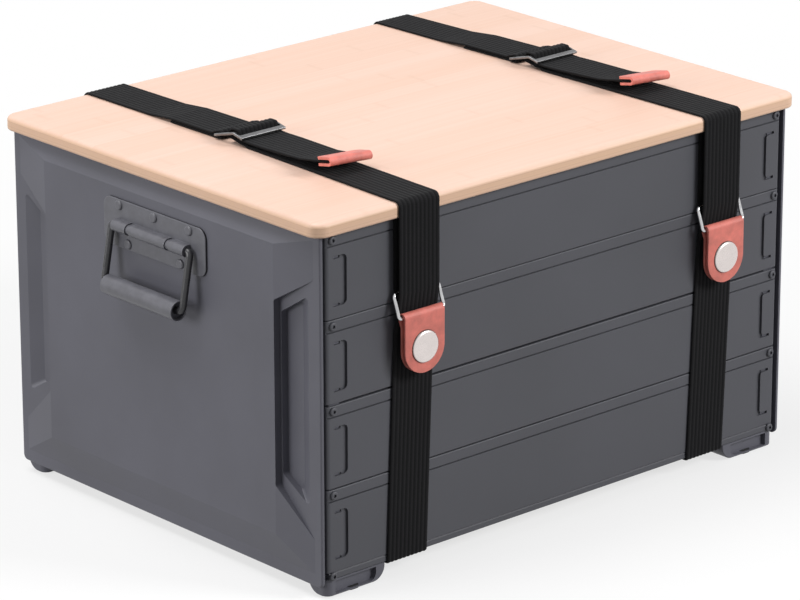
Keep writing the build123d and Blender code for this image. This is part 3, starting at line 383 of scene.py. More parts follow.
def webbing_finish(colour):
    """Woven elastic: picks across the ribs, painted lighter on their raised tops and darker in the grooves as
    light and shade, with fuzz and a soft sheen. It reads the webbing's own UV map.
    """
    made, tree, shader = new_material("Elastic webbing")
    uv = put(tree, "ShaderNodeUVMap", uv_map="UVMap").outputs[0]
    apart = put(tree, "ShaderNodeSeparateXYZ", {0: uv})
    along, across = apart.outputs[0], apart.outputs[1]
    rib = calc(tree, "FLOOR", across)
    stagger = calc(tree, "MULTIPLY", calc(tree, "MODULO", rib, 2.0), 0.5)
    pick = calc(tree, "FRACT", calc(tree, "ADD", calc(tree, "DIVIDE", along, 0.0012), stagger))
    wave = calc(tree, "SINE", calc(tree, "MULTIPLY", pick, math.pi))
    ridge = calc(tree, "SINE", calc(tree, "MULTIPLY", calc(tree, "FRACT", across), math.pi))
    fuzz = noise(tree, object_point(tree), 900.0, 4.0, 0.7)
    # Painted light and shade: the tones below run lighter on the raised ribs and picks and darker in the grooves
    # between them.
    light = tuple(1.9 * c for c in colour)
    dark = tuple(0.35 * c for c in colour)
    weave_light_and_shade = calc(tree, "MULTIPLY", calc(tree, "ADD", calc(tree, "MULTIPLY", wave, 0.35), 0.65), ridge)
    tint = mixed(tree, weave_light_and_shade, rgba(dark), rgba(light))
    tint = mixed(tree, spread(tree, fuzz, 0.4, 0.75, 0.0, 0.35), tint, rgba(tuple(2.6 * c for c in colour)))
    tree.links.new(tint, shader.inputs["Base Color"])
    shader.inputs["Roughness"].default_value = 0.82
    shader.inputs["Specular IOR Level"].default_value = 0.12
    shader.inputs["Sheen Weight"].default_value = 0.03
    shader.inputs["Sheen Roughness"].default_value = 0.5
    height = calc(tree, "ADD", calc(tree, "MULTIPLY", wave, ridge), calc(tree, "MULTIPLY", fuzz, 0.5))
    bumped(tree, shader, height, 0.00016)
    return made


def leather_finish(colour):
    """Smooth dyed leather with fine pores and soft mottling."""
    made, tree, shader = new_material("Dyed leather")
    place = object_point(tree)
    mottle = noise(tree, place, 70.0, 5.0, 0.6)
    pores = put(tree, "ShaderNodeTexVoronoi", {"Vector": place, "Scale": 1300.0}, feature="DISTANCE_TO_EDGE")
    crease = noise(tree, place, 420.0, 4.0, 0.6)
    tinted(tree, shader, colour, mottle, 1.22, 0.78)
    roughened(tree, shader, mottle, 0.42, 0.56)
    coarse = put(tree, "ShaderNodeBump", {"Height": crease, "Distance": 0.00010})
    bumped(tree, shader, spread(tree, pores.outputs["Distance"], 0.0, 0.25), 0.00005, below=coarse.outputs[0])
    return made


def metal_finish(name, colour, roughness, metallic=1.0, scratch=0.00002, tarnish_depth=1.0):
    """Plated or enamelled metal with fine scratches and a little tarnish."""
    made, tree, shader = new_material(name)
    place = object_point(tree)
    tarnish = noise(tree, place, 120.0, 4.0, 0.6)
    fine = noise(tree, place, 1600.0, 3.0, 0.6)
    tinted(tree, shader, colour, tarnish, 1 + 0.08 * tarnish_depth, 1 - 0.18 * tarnish_depth)
    shader.inputs["Metallic"].default_value = metallic
    roughened(tree, shader, tarnish, roughness * 0.85, roughness * 1.2)
    bumped(tree, shader, fine, scratch)
    return made


def plate_finish(colour):
    """The handles' enamel on their plates, with painted shade: near-black on each plate's cut edge, next to the
    panel.
    """
    made = metal_finish("Plate enamel", colour, 0.34, 0.0, 0.00004)
    tree = made.node_tree
    place = put(tree, "ShaderNodeTexCoord").outputs["Object"]
    out = calc(tree, "ABSOLUTE", put(tree, "ShaderNodeSeparateXYZ", {0: place}).outputs[0])
    # Painted shade: within 1.1 mm of the plate's back, its cut edge is painted near-black, standing in for the
    # shade between plate and panel.
    cut = calc(tree, "SUBTRACT", 1.0, spread(tree, out, PLATE_BACK + 1.1 * MM, PLATE_BACK + 1.5 * MM))
    return laid_over(made, cut, (0.006, 0.006, 0.007))


def snap_finish(colour):
    """Brushed nickel of the snaps, with a painted dark ring of shade round each cap's foot."""
    made = metal_finish("Polished nickel", colour, 0.24, tarnish_depth=0.25)
    tree = made.node_tree
    place = put(tree, "ShaderNodeTexCoord").outputs["Object"]
    reaches = []
    for side in SIDES:
        centre = (STRAP_X[side], 0, RING_LOW[side] - SNAP_DROP)
        away = put(tree, "ShaderNodeVectorMath", {0: place, 1: centre}, operation="SUBTRACT").outputs[0]
        flat = put(tree, "ShaderNodeVectorMath", {0: away, 1: (1, 0, 1)}, operation="MULTIPLY").outputs[0]
        reaches.append(put(tree, "ShaderNodeVectorMath", {0: flat}, operation="LENGTH").outputs["Value"])
    # Painted shade: a dark ring on each cap's rim, within 0.9 mm of its edge.
    line = spread(tree, calc(tree, "MINIMUM", *reaches), SNAP_RADIUS - 0.9 * MM, SNAP_RADIUS - 0.2 * MM)
    return laid_over(made, line, (0.10, 0.075, 0.07))


def rubber_finish():
    made, tree, shader = new_material("Pad rubber")
    place = object_point(tree)
    cloud = noise(tree, place, 60.0, 4.0)
    tree.links.new(mixed(tree, spread(tree, cloud, 0.3, 0.7), (0.008, 0.008, 0.008, 1), (0.02, 0.02, 0.021, 1)),
                   shader.inputs["Base Color"])
    shader.inputs["Roughness"].default_value = 0.8
    bumped(tree, shader, noise(tree, place, 900.0, 2.0), 0.0001)
    return made


def floor_board_finish():
    """Plain plywood for the loose floor inside the box."""
    made, tree, shader = new_material("Floor board")
    grain = noise(tree, object_point(tree, (6.0, 90.0, 90.0)), 1.0, 5.0, 0.6)
    tree.links.new(mixed(tree, spread(tree, grain, 0.3, 0.7), (0.40, 0.24, 0.12, 1), (0.55, 0.36, 0.20, 1)),
                   shader.inputs["Base Color"])
    shader.inputs["Roughness"].default_value = 0.6
    bumped(tree, shader, grain, 0.00012)
    return made


def finish_of(name):
    """A finished material by name, made the first time that it is asked for."""
    if name in bpy.data.materials:
        return bpy.data.materials[name]
    tones = bpy.context.scene.box_finishes
    makers = {
        "Moulded resin": lambda: moulded_finish(tones.moulded),
        "Powder coat": lambda: painted_finish(tones.painted),
        "Bamboo board": lambda: bamboo_finish(tones.bamboo_light, tones.bamboo_dark, tones.bamboo_edge),
        "Elastic webbing": lambda: webbing_finish(tones.webbing),
        "Dyed leather": lambda: leather_finish(tones.leather),
        "Handle enamel": lambda: metal_finish("Handle enamel", tones.handle, 0.34, 0.0, 0.00004),
        "Plate enamel": lambda: plate_finish(tones.handle),
        "Dark enamel": lambda: metal_finish("Dark enamel", tones.bail, 0.28, 0.0, 0.00004),
        "Polished nickel": lambda: snap_finish(tones.nickel),
        "Dark nickel": lambda: metal_finish("Dark nickel", tones.dark_nickel, 0.40),
        "Bright wire": lambda: metal_finish("Bright wire", tones.wire, 0.14),
        "Plated steel": lambda: metal_finish("Plated steel", tones.steel, 0.34),
        "Pad rubber": rubber_finish,
        "Floor board": floor_board_finish,
    }
    return makers[name]()


def coat(nodes, name):
    """Gives CAD nodes their material."""
    for node in nodes:
        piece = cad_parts[node]
        piece.data.materials.clear()
        piece.data.materials.append(finish_of(name))
        for face in piece.data.polygons:
            face.material_index = 0


# Geometry helpers


def filleted(points, radii, step):
    """A polyline through points with its corners rounded, sampled at most a step apart, as (y, z) pairs."""
    corners = [Vector(p) for p in points]
    route = [corners[0]]
    for before, corner, after, radius in zip(corners, corners[1:], corners[2:], radii):
        into = (before - corner).normalized()
        out = (after - corner).normalized()
        half = math.acos(max(-1.0, min(1.0, into.dot(out)))) / 2
        if radius <= 0 or half > math.pi / 2 - 1e-3:
            route.append(corner)
            continue
        reach = radius / math.tan(half)
        centre = corner + (into + out).normalized() * (radius / math.sin(half))
        start, end = corner + into * reach - centre, corner + out * reach - centre
        sweep = math.pi - 2 * half
        count = max(3, math.ceil(sweep / math.radians(12)))
        for k in range(count + 1):
            part = k / count
            weight = (math.sin((1 - part) * sweep), math.sin(part * sweep))
            arm = start * weight[0] + end * weight[1]
            route.append(centre + arm.normalized() * radius)
    route.append(corners[-1])
    fine = [route[0]]
    for a, b in zip(route, route[1:]):
        pieces = max(1, math.ceil((b - a).length / step))
        fine += [a.lerp(b, k / pieces) for k in range(1, pieces + 1) if (b - a).length > 1e-7]
    return fine


def polyline_object(name, points):
    """A mesh of edges through points, for a node tree to follow."""
    mesh = bpy.data.meshes.new(name)
    mesh.from_pydata(points, [(k, k + 1) for k in range(len(points) - 1)], [])
    made = bpy.data.objects.new(name, mesh)
    bpy.context.scene.collection.objects.link(made)
    return made


def webbing_tree():
    """A node tree that sweeps a ribbed section along the object's edges and gives it a UV map."""
    name = "Ribbed webbing"
    if name in bpy.data.node_groups:
        return bpy.data.node_groups[name]
    tree = bpy.data.node_groups.new(name, "GeometryNodeTree")
    face = tree.interface
    face.new_socket("Geometry", in_out="INPUT", socket_type="NodeSocketGeometry")
    face.new_socket("Width", in_out="INPUT", socket_type="NodeSocketFloat")
    face.new_socket("Thickness", in_out="INPUT", socket_type="NodeSocketFloat")
    face.new_socket("Ribs", in_out="INPUT", socket_type="NodeSocketInt")
    face.new_socket("Rib depth", in_out="INPUT", socket_type="NodeSocketFloat")
    face.new_socket("Section points", in_out="INPUT", socket_type="NodeSocketInt")
    face.new_socket("Material", in_out="INPUT", socket_type="NodeSocketMaterial")
    face.new_socket("Geometry", in_out="OUTPUT", socket_type="NodeSocketGeometry")
    given = put(tree, "NodeGroupInput").outputs
    curve = put(tree, "GeometryNodeMeshToCurve", {0: given["Geometry"]}).outputs[0]
    length = put(tree, "GeometryNodeSplineParameter").outputs["Length"]
    curve = put(tree, "GeometryNodeStoreNamedAttribute", {"Geometry": curve, "Name": "along", "Value": length},
                data_type="FLOAT", domain="POINT").outputs[0]
    loop = put(tree, "GeometryNodeCurvePrimitiveCircle", {"Resolution": given["Section points"], "Radius": 1.0})
    turn = calc(tree, "DIVIDE", put(tree, "GeometryNodeInputIndex").outputs[0], given["Section points"])
    out_and_back = calc(tree, "PINGPONG", calc(tree, "MULTIPLY", turn, 2.0), 1.0)
    reach = calc(tree, "SUBTRACT", calc(tree, "MULTIPLY", out_and_back, 2.0), 1.0)
    side = calc(tree, "SUBTRACT", calc(tree, "MULTIPLY", calc(tree, "LESS_THAN", turn, 0.5), 2.0), 1.0)
    rib_place = calc(tree, "MULTIPLY", out_and_back, given["Ribs"])
    swing = calc(tree, "COSINE", calc(tree, "MULTIPLY", rib_place, 2 * math.pi))
    groove = calc(
        tree, "MULTIPLY", calc(tree, "MULTIPLY", calc(tree, "ADD", swing, 1.0), 0.5), given["Rib depth"])
    half = calc(tree, "SUBTRACT", calc(tree, "MULTIPLY", given["Thickness"], 0.5), groove)
    edge = calc(tree, "POWER", calc(tree, "ABSOLUTE", reach), 40.0)
    round_off = calc(tree, "SQRT", calc(tree, "MAXIMUM", calc(tree, "SUBTRACT", 1.0, edge), 0.06))
    height = calc(tree, "MULTIPLY", calc(tree, "MULTIPLY", half, round_off), side)
    width = calc(tree, "MULTIPLY", calc(tree, "MULTIPLY", reach, given["Width"]), 0.5)
    spot = put(tree, "ShaderNodeCombineXYZ", {0: width, 1: height}).outputs[0]
    section = put(tree, "GeometryNodeStoreNamedAttribute",
                  {"Geometry": loop.outputs[0], "Name": "across", "Value": rib_place},
                  data_type="FLOAT", domain="POINT").outputs[0]
    section = put(tree, "GeometryNodeSetPosition", {"Geometry": section, "Position": spot}).outputs[0]
    swept = put(tree, "GeometryNodeCurveToMesh", {"Curve": curve, "Profile Curve": section, "Fill Caps": True})
    read = [put(tree, "GeometryNodeInputNamedAttribute", {"Name": key}, data_type="FLOAT").outputs[0]
            for key in ("along", "across")]
    flat = put(tree, "ShaderNodeCombineXYZ", {0: read[0], 1: read[1]}).outputs[0]
    mapped = put(tree, "GeometryNodeStoreNamedAttribute",
                 {"Geometry": swept.outputs[0], "Name": "UVMap", "Value": flat},
                 data_type="FLOAT2", domain="CORNER").outputs[0]
    smooth = put(tree, "GeometryNodeSetShadeSmooth", {"Geometry": mapped}).outputs[0]
    whole = put(tree, "GeometryNodeRealizeInstances", {0: smooth}).outputs[0]
    dressed = put(
        tree, "GeometryNodeSetMaterial", {"Geometry": whole, "Material": given["Material"]}).outputs[0]
    put(tree, "NodeGroupOutput", {0: dressed})
    return tree


def grown(name, source, tree, values):
    """Runs a node tree on an object and returns the result as a plain mesh object."""
    modifier = source.modifiers.new(tree.name, "NODES")
    modifier.node_group = tree
    for item in tree.interface.items_tree:
        if item.item_type == "SOCKET" and item.in_out == "INPUT" and item.name in values:
            modifier[item.identifier] = values[item.name]
    bpy.context.view_layer.update()
    depsgraph = bpy.context.evaluated_depsgraph_get()
    mesh = bpy.data.meshes.new_from_object(source.evaluated_get(depsgraph), depsgraph=depsgraph)
    source.modifiers.remove(modifier)
    bpy.data.objects.remove(source)
    if not mesh.polygons:
        raise RuntimeError(f"{name} came out empty")
    mesh.name = name
    made = bpy.data.objects.new(name, mesh)
    bpy.context.scene.collection.objects.link(made)
    outward(mesh)
    return made


def outward(mesh):
    """Turns a closed mesh's faces outwards."""
    work = bmesh.new()
    work.from_mesh(mesh)
    bmesh.ops.remove_doubles(work, verts=work.verts, dist=1e-7)
    bmesh.ops.recalc_face_normals(work, faces=work.faces)
    if work.calc_volume(signed=True) < 0:
        bmesh.ops.reverse_faces(work, faces=work.faces)
    work.to_mesh(mesh)
    work.free()


def glide_height(y):
    """Height of the middle of the arched slide's sheet at a place behind the box's middle, in millimetres."""
    end = "front" if y < GLIDE_PLACE["peak"] else "back"
    peak, low = GLIDE_RISE["peak"] / MM, GLIDE_RISE[end] / MM
    part = (y - GLIDE_PLACE["peak"]) / (GLIDE_PLACE[end] - GLIDE_PLACE["peak"])
    return LID_TOP / MM + peak - (peak - low) * part


def strap_route(side, sizes):
    """The whole strap's centre line, from the tail's end over the lid and round the box to the folded end."""
    t = sizes.thickness / MM
    over = 1.14 + 0.3 + t / 2
    lid = LID_TOP / MM
    wall = HALF_WIDTH / MM
    top = WALL_TOP / MM
    lower = lid + t / 2
    upper = lower + t + 0.3
    tail = lid + TIP_RISE / MM
    hump = glide_height(GLIDE_PLACE["peak"]) + over
    stand = (BOARD_HIGH.y - MIDDLE_Y) / MM + t / 2
    rail = RAIL_BOTTOM / MM - t / 2
    ring_top, ring_low = RING_TOP[side] / MM, RING_LOW[side] / MM
    rear_stand = t / 2 + (stand - wall - t / 2) * (BACK_FIXED / MM - rail) / (top - 4 - rail)
    corners = [
        ((-113.5, tail + 13.5 * math.tan(TIP_PITCH)), 0), ((TIP_BACK / MM, tail), 20), ((-76.0, lid + 6.3), 20),
        ((-12.7, lid + 4.8), 20), ((-0.5, lid + 5.4), 1.6), ((1.2, hump), 1.6), ((8.6, hump), 2.5),
        ((14.0, lower + 4.6), 2.5), ((-12.0, lower), 10),
        ((-stand, lower), 4.8), ((-stand, ring_top), 8),
        ((-wall - 4.25, ring_low), 8), ((-wall - t / 2, 206.0), 8),
        ((-wall - t / 2, rail), 2), ((wall + t / 2, rail), 2), ((wall + rear_stand, BACK_FIXED / MM), 0),
        ((stand, top - 4), 10), ((stand, lower), 4.8), ((116.0, lower), 12),
        ((88.0, upper), 12), ((34.4, upper), 2),
        ((30.4, glide_height(30.4) + over), 2), ((21.6, glide_height(21.6) + over), 2.5), ((21.6, lower), 2.5),
        ((86.0, lower), 0),
    ]
    points = [place for place, _ in corners]
    radii = [radius for _, radius in corners[1:-1]]
    flat = filleted(points, radii, sizes.step / MM)
    x = STRAP_X[side]
    return [(x, MIDDLE_Y + y * MM, z * MM) for y, z in flat]


def along_stations(stations, place):
    """The value at a place between stations, each a (place, value), held beyond the ends."""
    if place <= stations[0][0]:
        return stations[0][1]
    for (start, first), (stop, last) in zip(stations, stations[1:]):
        if place <= stop:
            return first + (last - first) * (place - start) / (stop - start)
    return stations[-1][1]


def strap_lean(side, y, z):
    """How far a strap's middle lies to the side of its ring, where it passes (y, z)."""
    x = STRAP_X[side]
    front, back = MIDDLE_Y - HALF_WIDTH, MIDDLE_Y + HALF_WIDTH
    if z > WALL_TOP:
        lead = 7.0 * MM
        return along_stations([(front, 0.0), (GLIDE_Y["front"] - lead, GLIDE_X[side] - x),
                               (GLIDE_Y["back"] + lead, GLIDE_X[side] - x), (back, BACK_X[side] - x)], y)
    if z < RAIL_BOTTOM:
        return along_stations([(front, FOOT_LEAN), (back, BACK_X[side] - x)], y)
    if y < MIDDLE_Y:
        return along_stations([(RAIL_BOTTOM, FOOT_LEAN), (RING_LOW[side], 0.0)], z)
    return BACK_X[side] - x


def strap_pinch(side, y):
    """How much of a strap's width is drawn in from its left edge, towards the lid's rear edge."""
    return along_stations([(0.030, 0.0), (0.190, {"left": 0.035, "right": 0.10}[side])], y)


def tail_roll(y):
    """How much the slack tail's free end rolls to its right, as a slope across it."""
    return along_stations([(MIDDLE_Y - 0.100, -0.07), (MIDDLE_Y - 0.030, 0.0)], y)


def folded_leather(name, outline, route, normals, stations, thickness, edge, dish=None):
    """Leather cut to an outline, as (across, along), and bent along a route. Dish sinks it round a snap."""
    work = bmesh.new()
    ring = [work.verts.new((u, v, 0)) for u, v in outline]
    work.faces.new(ring)
    for k in range(-9, 10):
        whole = list(work.verts) + list(work.edges) + list(work.faces)
        bmesh.ops.bisect_plane(work, geom=whole, plane_co=(k * 0.0024, 0, 0), plane_no=(1, 0, 0), dist=1e-6)
    for station in stations[1:-1]:
        whole = list(work.verts) + list(work.edges) + list(work.faces)
        bmesh.ops.bisect_plane(work, geom=whole, plane_co=(0, station, 0), plane_no=(0, 1, 0), dist=1e-6)
    work.verts.ensure_lookup_table()
    work.verts.index_update()

    def bent(u, v, out):
        for k in range(len(stations) - 1):
            if v <= stations[k + 1] + 1e-9 or k == len(stations) - 2:
                part = (v - stations[k]) / (stations[k + 1] - stations[k])
                break
        spot = route[k].lerp(route[k + 1], part)
        normal = normals[k].lerp(normals[k + 1], part).normalized()
        spot = spot + normal * out
        if dish:
            spot = spot + dish(u, spot)
        return (u, spot.x, spot.y)

    points = [bent(v.co.x, v.co.y, thickness / 2) for v in work.verts]
    points += [bent(v.co.x, v.co.y, -thickness / 2) for v in work.verts]
    count = len(work.verts)
    faces = [[v.index for v in f.verts] for f in work.faces]
    faces += [[v.index + count for v in reversed(f.verts)] for f in work.faces]
    for rim in work.edges:
        if len(rim.link_faces) == 1:
            a, b = (v.index for v in rim.verts)
            faces.append([a, b, b + count, a + count])
    work.free()
    mesh = bpy.data.meshes.new(name)
    mesh.from_pydata(points, [], faces)
    outward(mesh)
    made = bpy.data.objects.new(name, mesh)
    bpy.context.scene.collection.objects.link(made)
    soft = made.modifiers.new("Worn edge", "BEVEL")
    soft.width = edge
    soft.segments = 3
    soft.limit_method = "ANGLE"
    soft.angle_limit = math.radians(50)
    for face in mesh.polygons:
        face.use_smooth = True
    mesh.materials.append(finish_of("Dyed leather"))
    return made


def along_route(points, step):
    """Stations, places and normals along a route of (y, z) points."""
    stations = [0.0]
    for a, b in zip(points, points[1:]):
        stations.append(stations[-1] + (b - a).length)
    normals = []
    for k in range(len(points)):
        ahead = points[min(k + 1, len(points) - 1)] - points[max(k - 1, 0)]
        normals.append(Vector((-ahead.y, ahead.x)).normalized())
    return stations, points, normals


# Pieces


class FinishEnds(bpy.types.Operator):
    """Gives the two moulded ends their satin resin"""
    bl_idname = "camping_box.finish_ends"
    bl_label = "Finish the ends"

    def execute(self, context):
        coat([f"end_panel_{side}" for side in SIDES], "Moulded resin")
        return {"FINISHED"}


class FinishPlanks(bpy.types.Operator):
    """Gives the planks, rails and feet their coat, and the screws their plating"""
    bl_idname = "camping_box.finish_planks"
    bl_label = "Finish the planks, rails, screws and feet"

    def execute(self, context):
        coat(PLANKS + ["front_rail", "back_rail", "front_screws", "back_screws"], "Powder coat")
        coat(FEET, "Moulded resin")
        coat(["batten_screws", "keeper_rivets"], "Plated steel")
        coat(["foot_pads"], "Pad rubber")
        coat(["floor_panel"], "Floor board")
        return {"FINISHED"}


class FinishLid(bpy.types.Operator):
    """Gives the lid and its battens their bamboo"""
    bl_idname = "camping_box.finish_lid"
    bl_label = "Finish the lid"

    def execute(self, context):
        coat(["lid_board", "lid_batten_left", "lid_batten_right"], "Bamboo board")
        return {"FINISHED"}


class FinishHandles(bpy.types.Operator):
    """Gives the handles their grey enamel"""
    bl_idname = "camping_box.finish_handles"
    bl_label = "Finish the handles"

    def execute(self, context):
        coat([f"handle_plate_{side}" for side in SIDES], "Plate enamel")
        coat([f"bail_{side}" for side in SIDES], "Dark enamel")
        coat([f"{piece}_{side}" for piece in ("handle_rivets", "grip") for side in SIDES], "Handle enamel")
        return {"FINISHED"}


class FinishFittings(bpy.types.Operator):
    """Gives the rings, slides and snaps their metal"""
    bl_idname = "camping_box.finish_fittings"
    bl_label = "Finish the strap fittings"

    def execute(self, context):
        coat([f"tri_glide_{side}" for side in SIDES], "Dark nickel")
        coat([f"ring_{side}" for side in SIDES], "Bright wire")
        coat([f"{piece}_{side}" for piece in ("snap_cap", "snap_socket") for side in SIDES] + ["snap_studs"],
             "Polished nickel")
        return {"FINISHED"}


class LayStraps(bpy.types.Operator):
    """Lays each elastic strap as one ribbed length of webbing round the box and over the lid"""
    bl_idname = "camping_box.lay_straps"
    bl_label = "Lay the straps"

    def execute(self, context):
        sizes = context.scene.strap_sizes
        for side in SIDES:
            source = polyline_object(f"strap_route_{side}", strap_route(side, sizes))
            values = {"Width": sizes.width, "Thickness": sizes.thickness, "Ribs": sizes.ribs,
                      "Rib depth": sizes.rib_depth, "Section points": 16 * sizes.ribs,
                      "Material": finish_of("Elastic webbing")}
            strap = grown(f"elastic_strap_{side}", source, webbing_tree(), values)
            for vertex in strap.data.vertices:
                place = vertex.co
                if place.z > LID_TOP + 2.5 * sizes.thickness and place.y < GLIDE_Y["front"]:
                    place.z += tail_roll(place.y) * (place.x - STRAP_X[side])
                right_edge = STRAP_X[side] + sizes.width / 2
                place.x += strap_pinch(side, place.y) * (right_edge - place.x)
                place.x += strap_lean(side, place.y, place.z)
            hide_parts(*[f"strap_{place}_{side}" for place in (
                "front_top", "rear_top", "front_upper", "rear_upper", "under")])
            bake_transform(strap)
        return {"FINISHED"}


class LayKeepers(bpy.types.Operator):
    """Lays the flat webbing that holds each ring against the top plank"""
    bl_idname = "camping_box.lay_keepers"
    bl_label = "Lay the ring keepers"

    def execute(self, context):
        sizes = context.scene.strap_sizes
        for side in SIDES:
            t = sizes.keeper_thickness / MM
            wall = HALF_WIDTH / MM
            ring_z = RING_TOP[side] / MM
            stand = RING_STANDS[0] / MM
            bore = (RING_WIRE / 2) / MM + 0.2 + t / 2
            turn = [Vector((-wall - t / 2, WALL_TOP / MM - 1.8)), Vector((-wall - t / 2, ring_z + 3.8))]
            for k in range(15):
                angle = math.radians(62 - 17.5 * k)
                turn.append(Vector((-wall - stand + bore * math.cos(angle), ring_z + bore * math.sin(angle))))
            route = filleted([tuple(p) for p in turn[:2]], [], 4.0)[:-1] + turn[1:]
            points = [(STRAP_X[side], MIDDLE_Y + y * MM, z * MM) for y, z in route]
            source = polyline_object(f"keeper_route_{side}", points)
            values = {"Width": sizes.width, "Thickness": sizes.keeper_thickness, "Ribs": sizes.ribs,
                      "Rib depth": sizes.rib_depth * 0.3, "Section points": 12 * sizes.ribs,
                      "Material": finish_of("Elastic webbing")}
            keeper = grown(f"ring_keeper_{side}", source, webbing_tree(), values)
            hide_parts(f"keeper_web_{side}")
            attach(keeper, "box")
        return {"FINISHED"}


class FoldTabs(bpy.types.Operator):
    """Folds each leather tab over its ring"""
    bl_idname = "camping_box.fold_tabs"
    bl_label = "Fold the leather tabs"

    def execute(self, context):
        sizes = context.scene.leather_sizes
        for side in SIDES:
            low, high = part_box(f"leather_tab_{side}")
            x = STRAP_X[side]
            half = (high.x - low.x) / 2
            t = sizes.thickness
            face = MIDDLE_Y - HALF_WIDTH
            fold_y, fold_z = face - RING_STANDS[1], RING_LOW[side]
            fold = RING_WIRE / 2 + FOLD_GAP + t / 2
            front_y, back_y = low.y + t / 2, low.y + 1.5 * t + LEAF_GAP
            leaf_end = low.z
            join = fold_z - TAB_JOIN
            run = [
                (front_y, leaf_end), (front_y, join),
                (fold_y - fold, fold_z - fold), (fold_y - fold, fold_z + fold),
                (fold_y + fold, fold_z + fold), (fold_y + fold, fold_z - fold),
                (back_y, join), (back_y, leaf_end),
            ]
            top = fold - 0.00001
            route = filleted(run, [0.002, 0.002, top, top, 0.002, 0.002], 0.0024)
            stations, places, normals = along_route(route, 0.0024)
            total = stations[-1]
            outline = []
            for k in range(25):
                angle = math.pi + math.pi * k / 24
                outline.append((half * math.cos(angle), half + half * math.sin(angle)))
            for k in range(25):
                angle = math.pi * k / 24
                outline.append((half * math.cos(angle), total - half + half * math.sin(angle)))
            tab = folded_leather(f"leather_fold_{side}", outline, places, normals, stations, t, sizes.edge)
            for vertex in tab.data.vertices:
                vertex.co.x += x
            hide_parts(f"leather_tab_{side}")
            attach(tab, f"tab_{side}")
        return {"FINISHED"}


class FoldTips(bpy.types.Operator):
    """Folds the leather tip over each strap's tail"""
    bl_idname = "camping_box.fold_tips"
    bl_label = "Fold the strap tips"

    def execute(self, context):
        sizes = context.scene.leather_sizes
        for side in SIDES:
            low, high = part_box(f"strap_tip_{side}")
            t = sizes.tip_thickness
            half = (high.x - low.x) / 2
            stand = (TIP_INSIDE + t) / 2
            bend = stand - 0.00001
            end = t / 2 - TIP_LENGTH
            run = [(0, -stand), (end, -stand), (end, stand), (0, stand)]
            route = filleted(run, [bend, bend], 0.0024)
            stations, places, normals = along_route(route, 0.0024)
            total = stations[-1]
            corner = TIP_CORNER
            outline = []
            for cu, cv, start in ((-1, 0, 180), (1, 0, 270), (1, 1, 0), (-1, 1, 90)):
                for k in range(7):
                    angle = math.radians(start + 15 * k)
                    outline.append((cu * (half - corner) + corner * math.cos(angle),
                                    cv * total + (corner if cv == 0 else -corner) + corner * math.sin(angle)))
            tip = folded_leather(f"leather_tip_{side}", outline, places, normals, stations, t, sizes.edge)
            cosine, sine = math.cos(TIP_PITCH), math.sin(TIP_PITCH)
            for vertex in tip.data.vertices:
                x, along, out = vertex.co
                y = MIDDLE_Y + TIP_BACK + along * cosine + out * sine
                z = LID_TOP + TIP_RISE - along * sine + out * cosine + tail_roll(y) * x
                vertex.co = (x + (low.x + high.x) / 2, y, z)
            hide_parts(f"strap_tip_{side}")
            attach(tip, "lid")
        return {"FINISHED"}


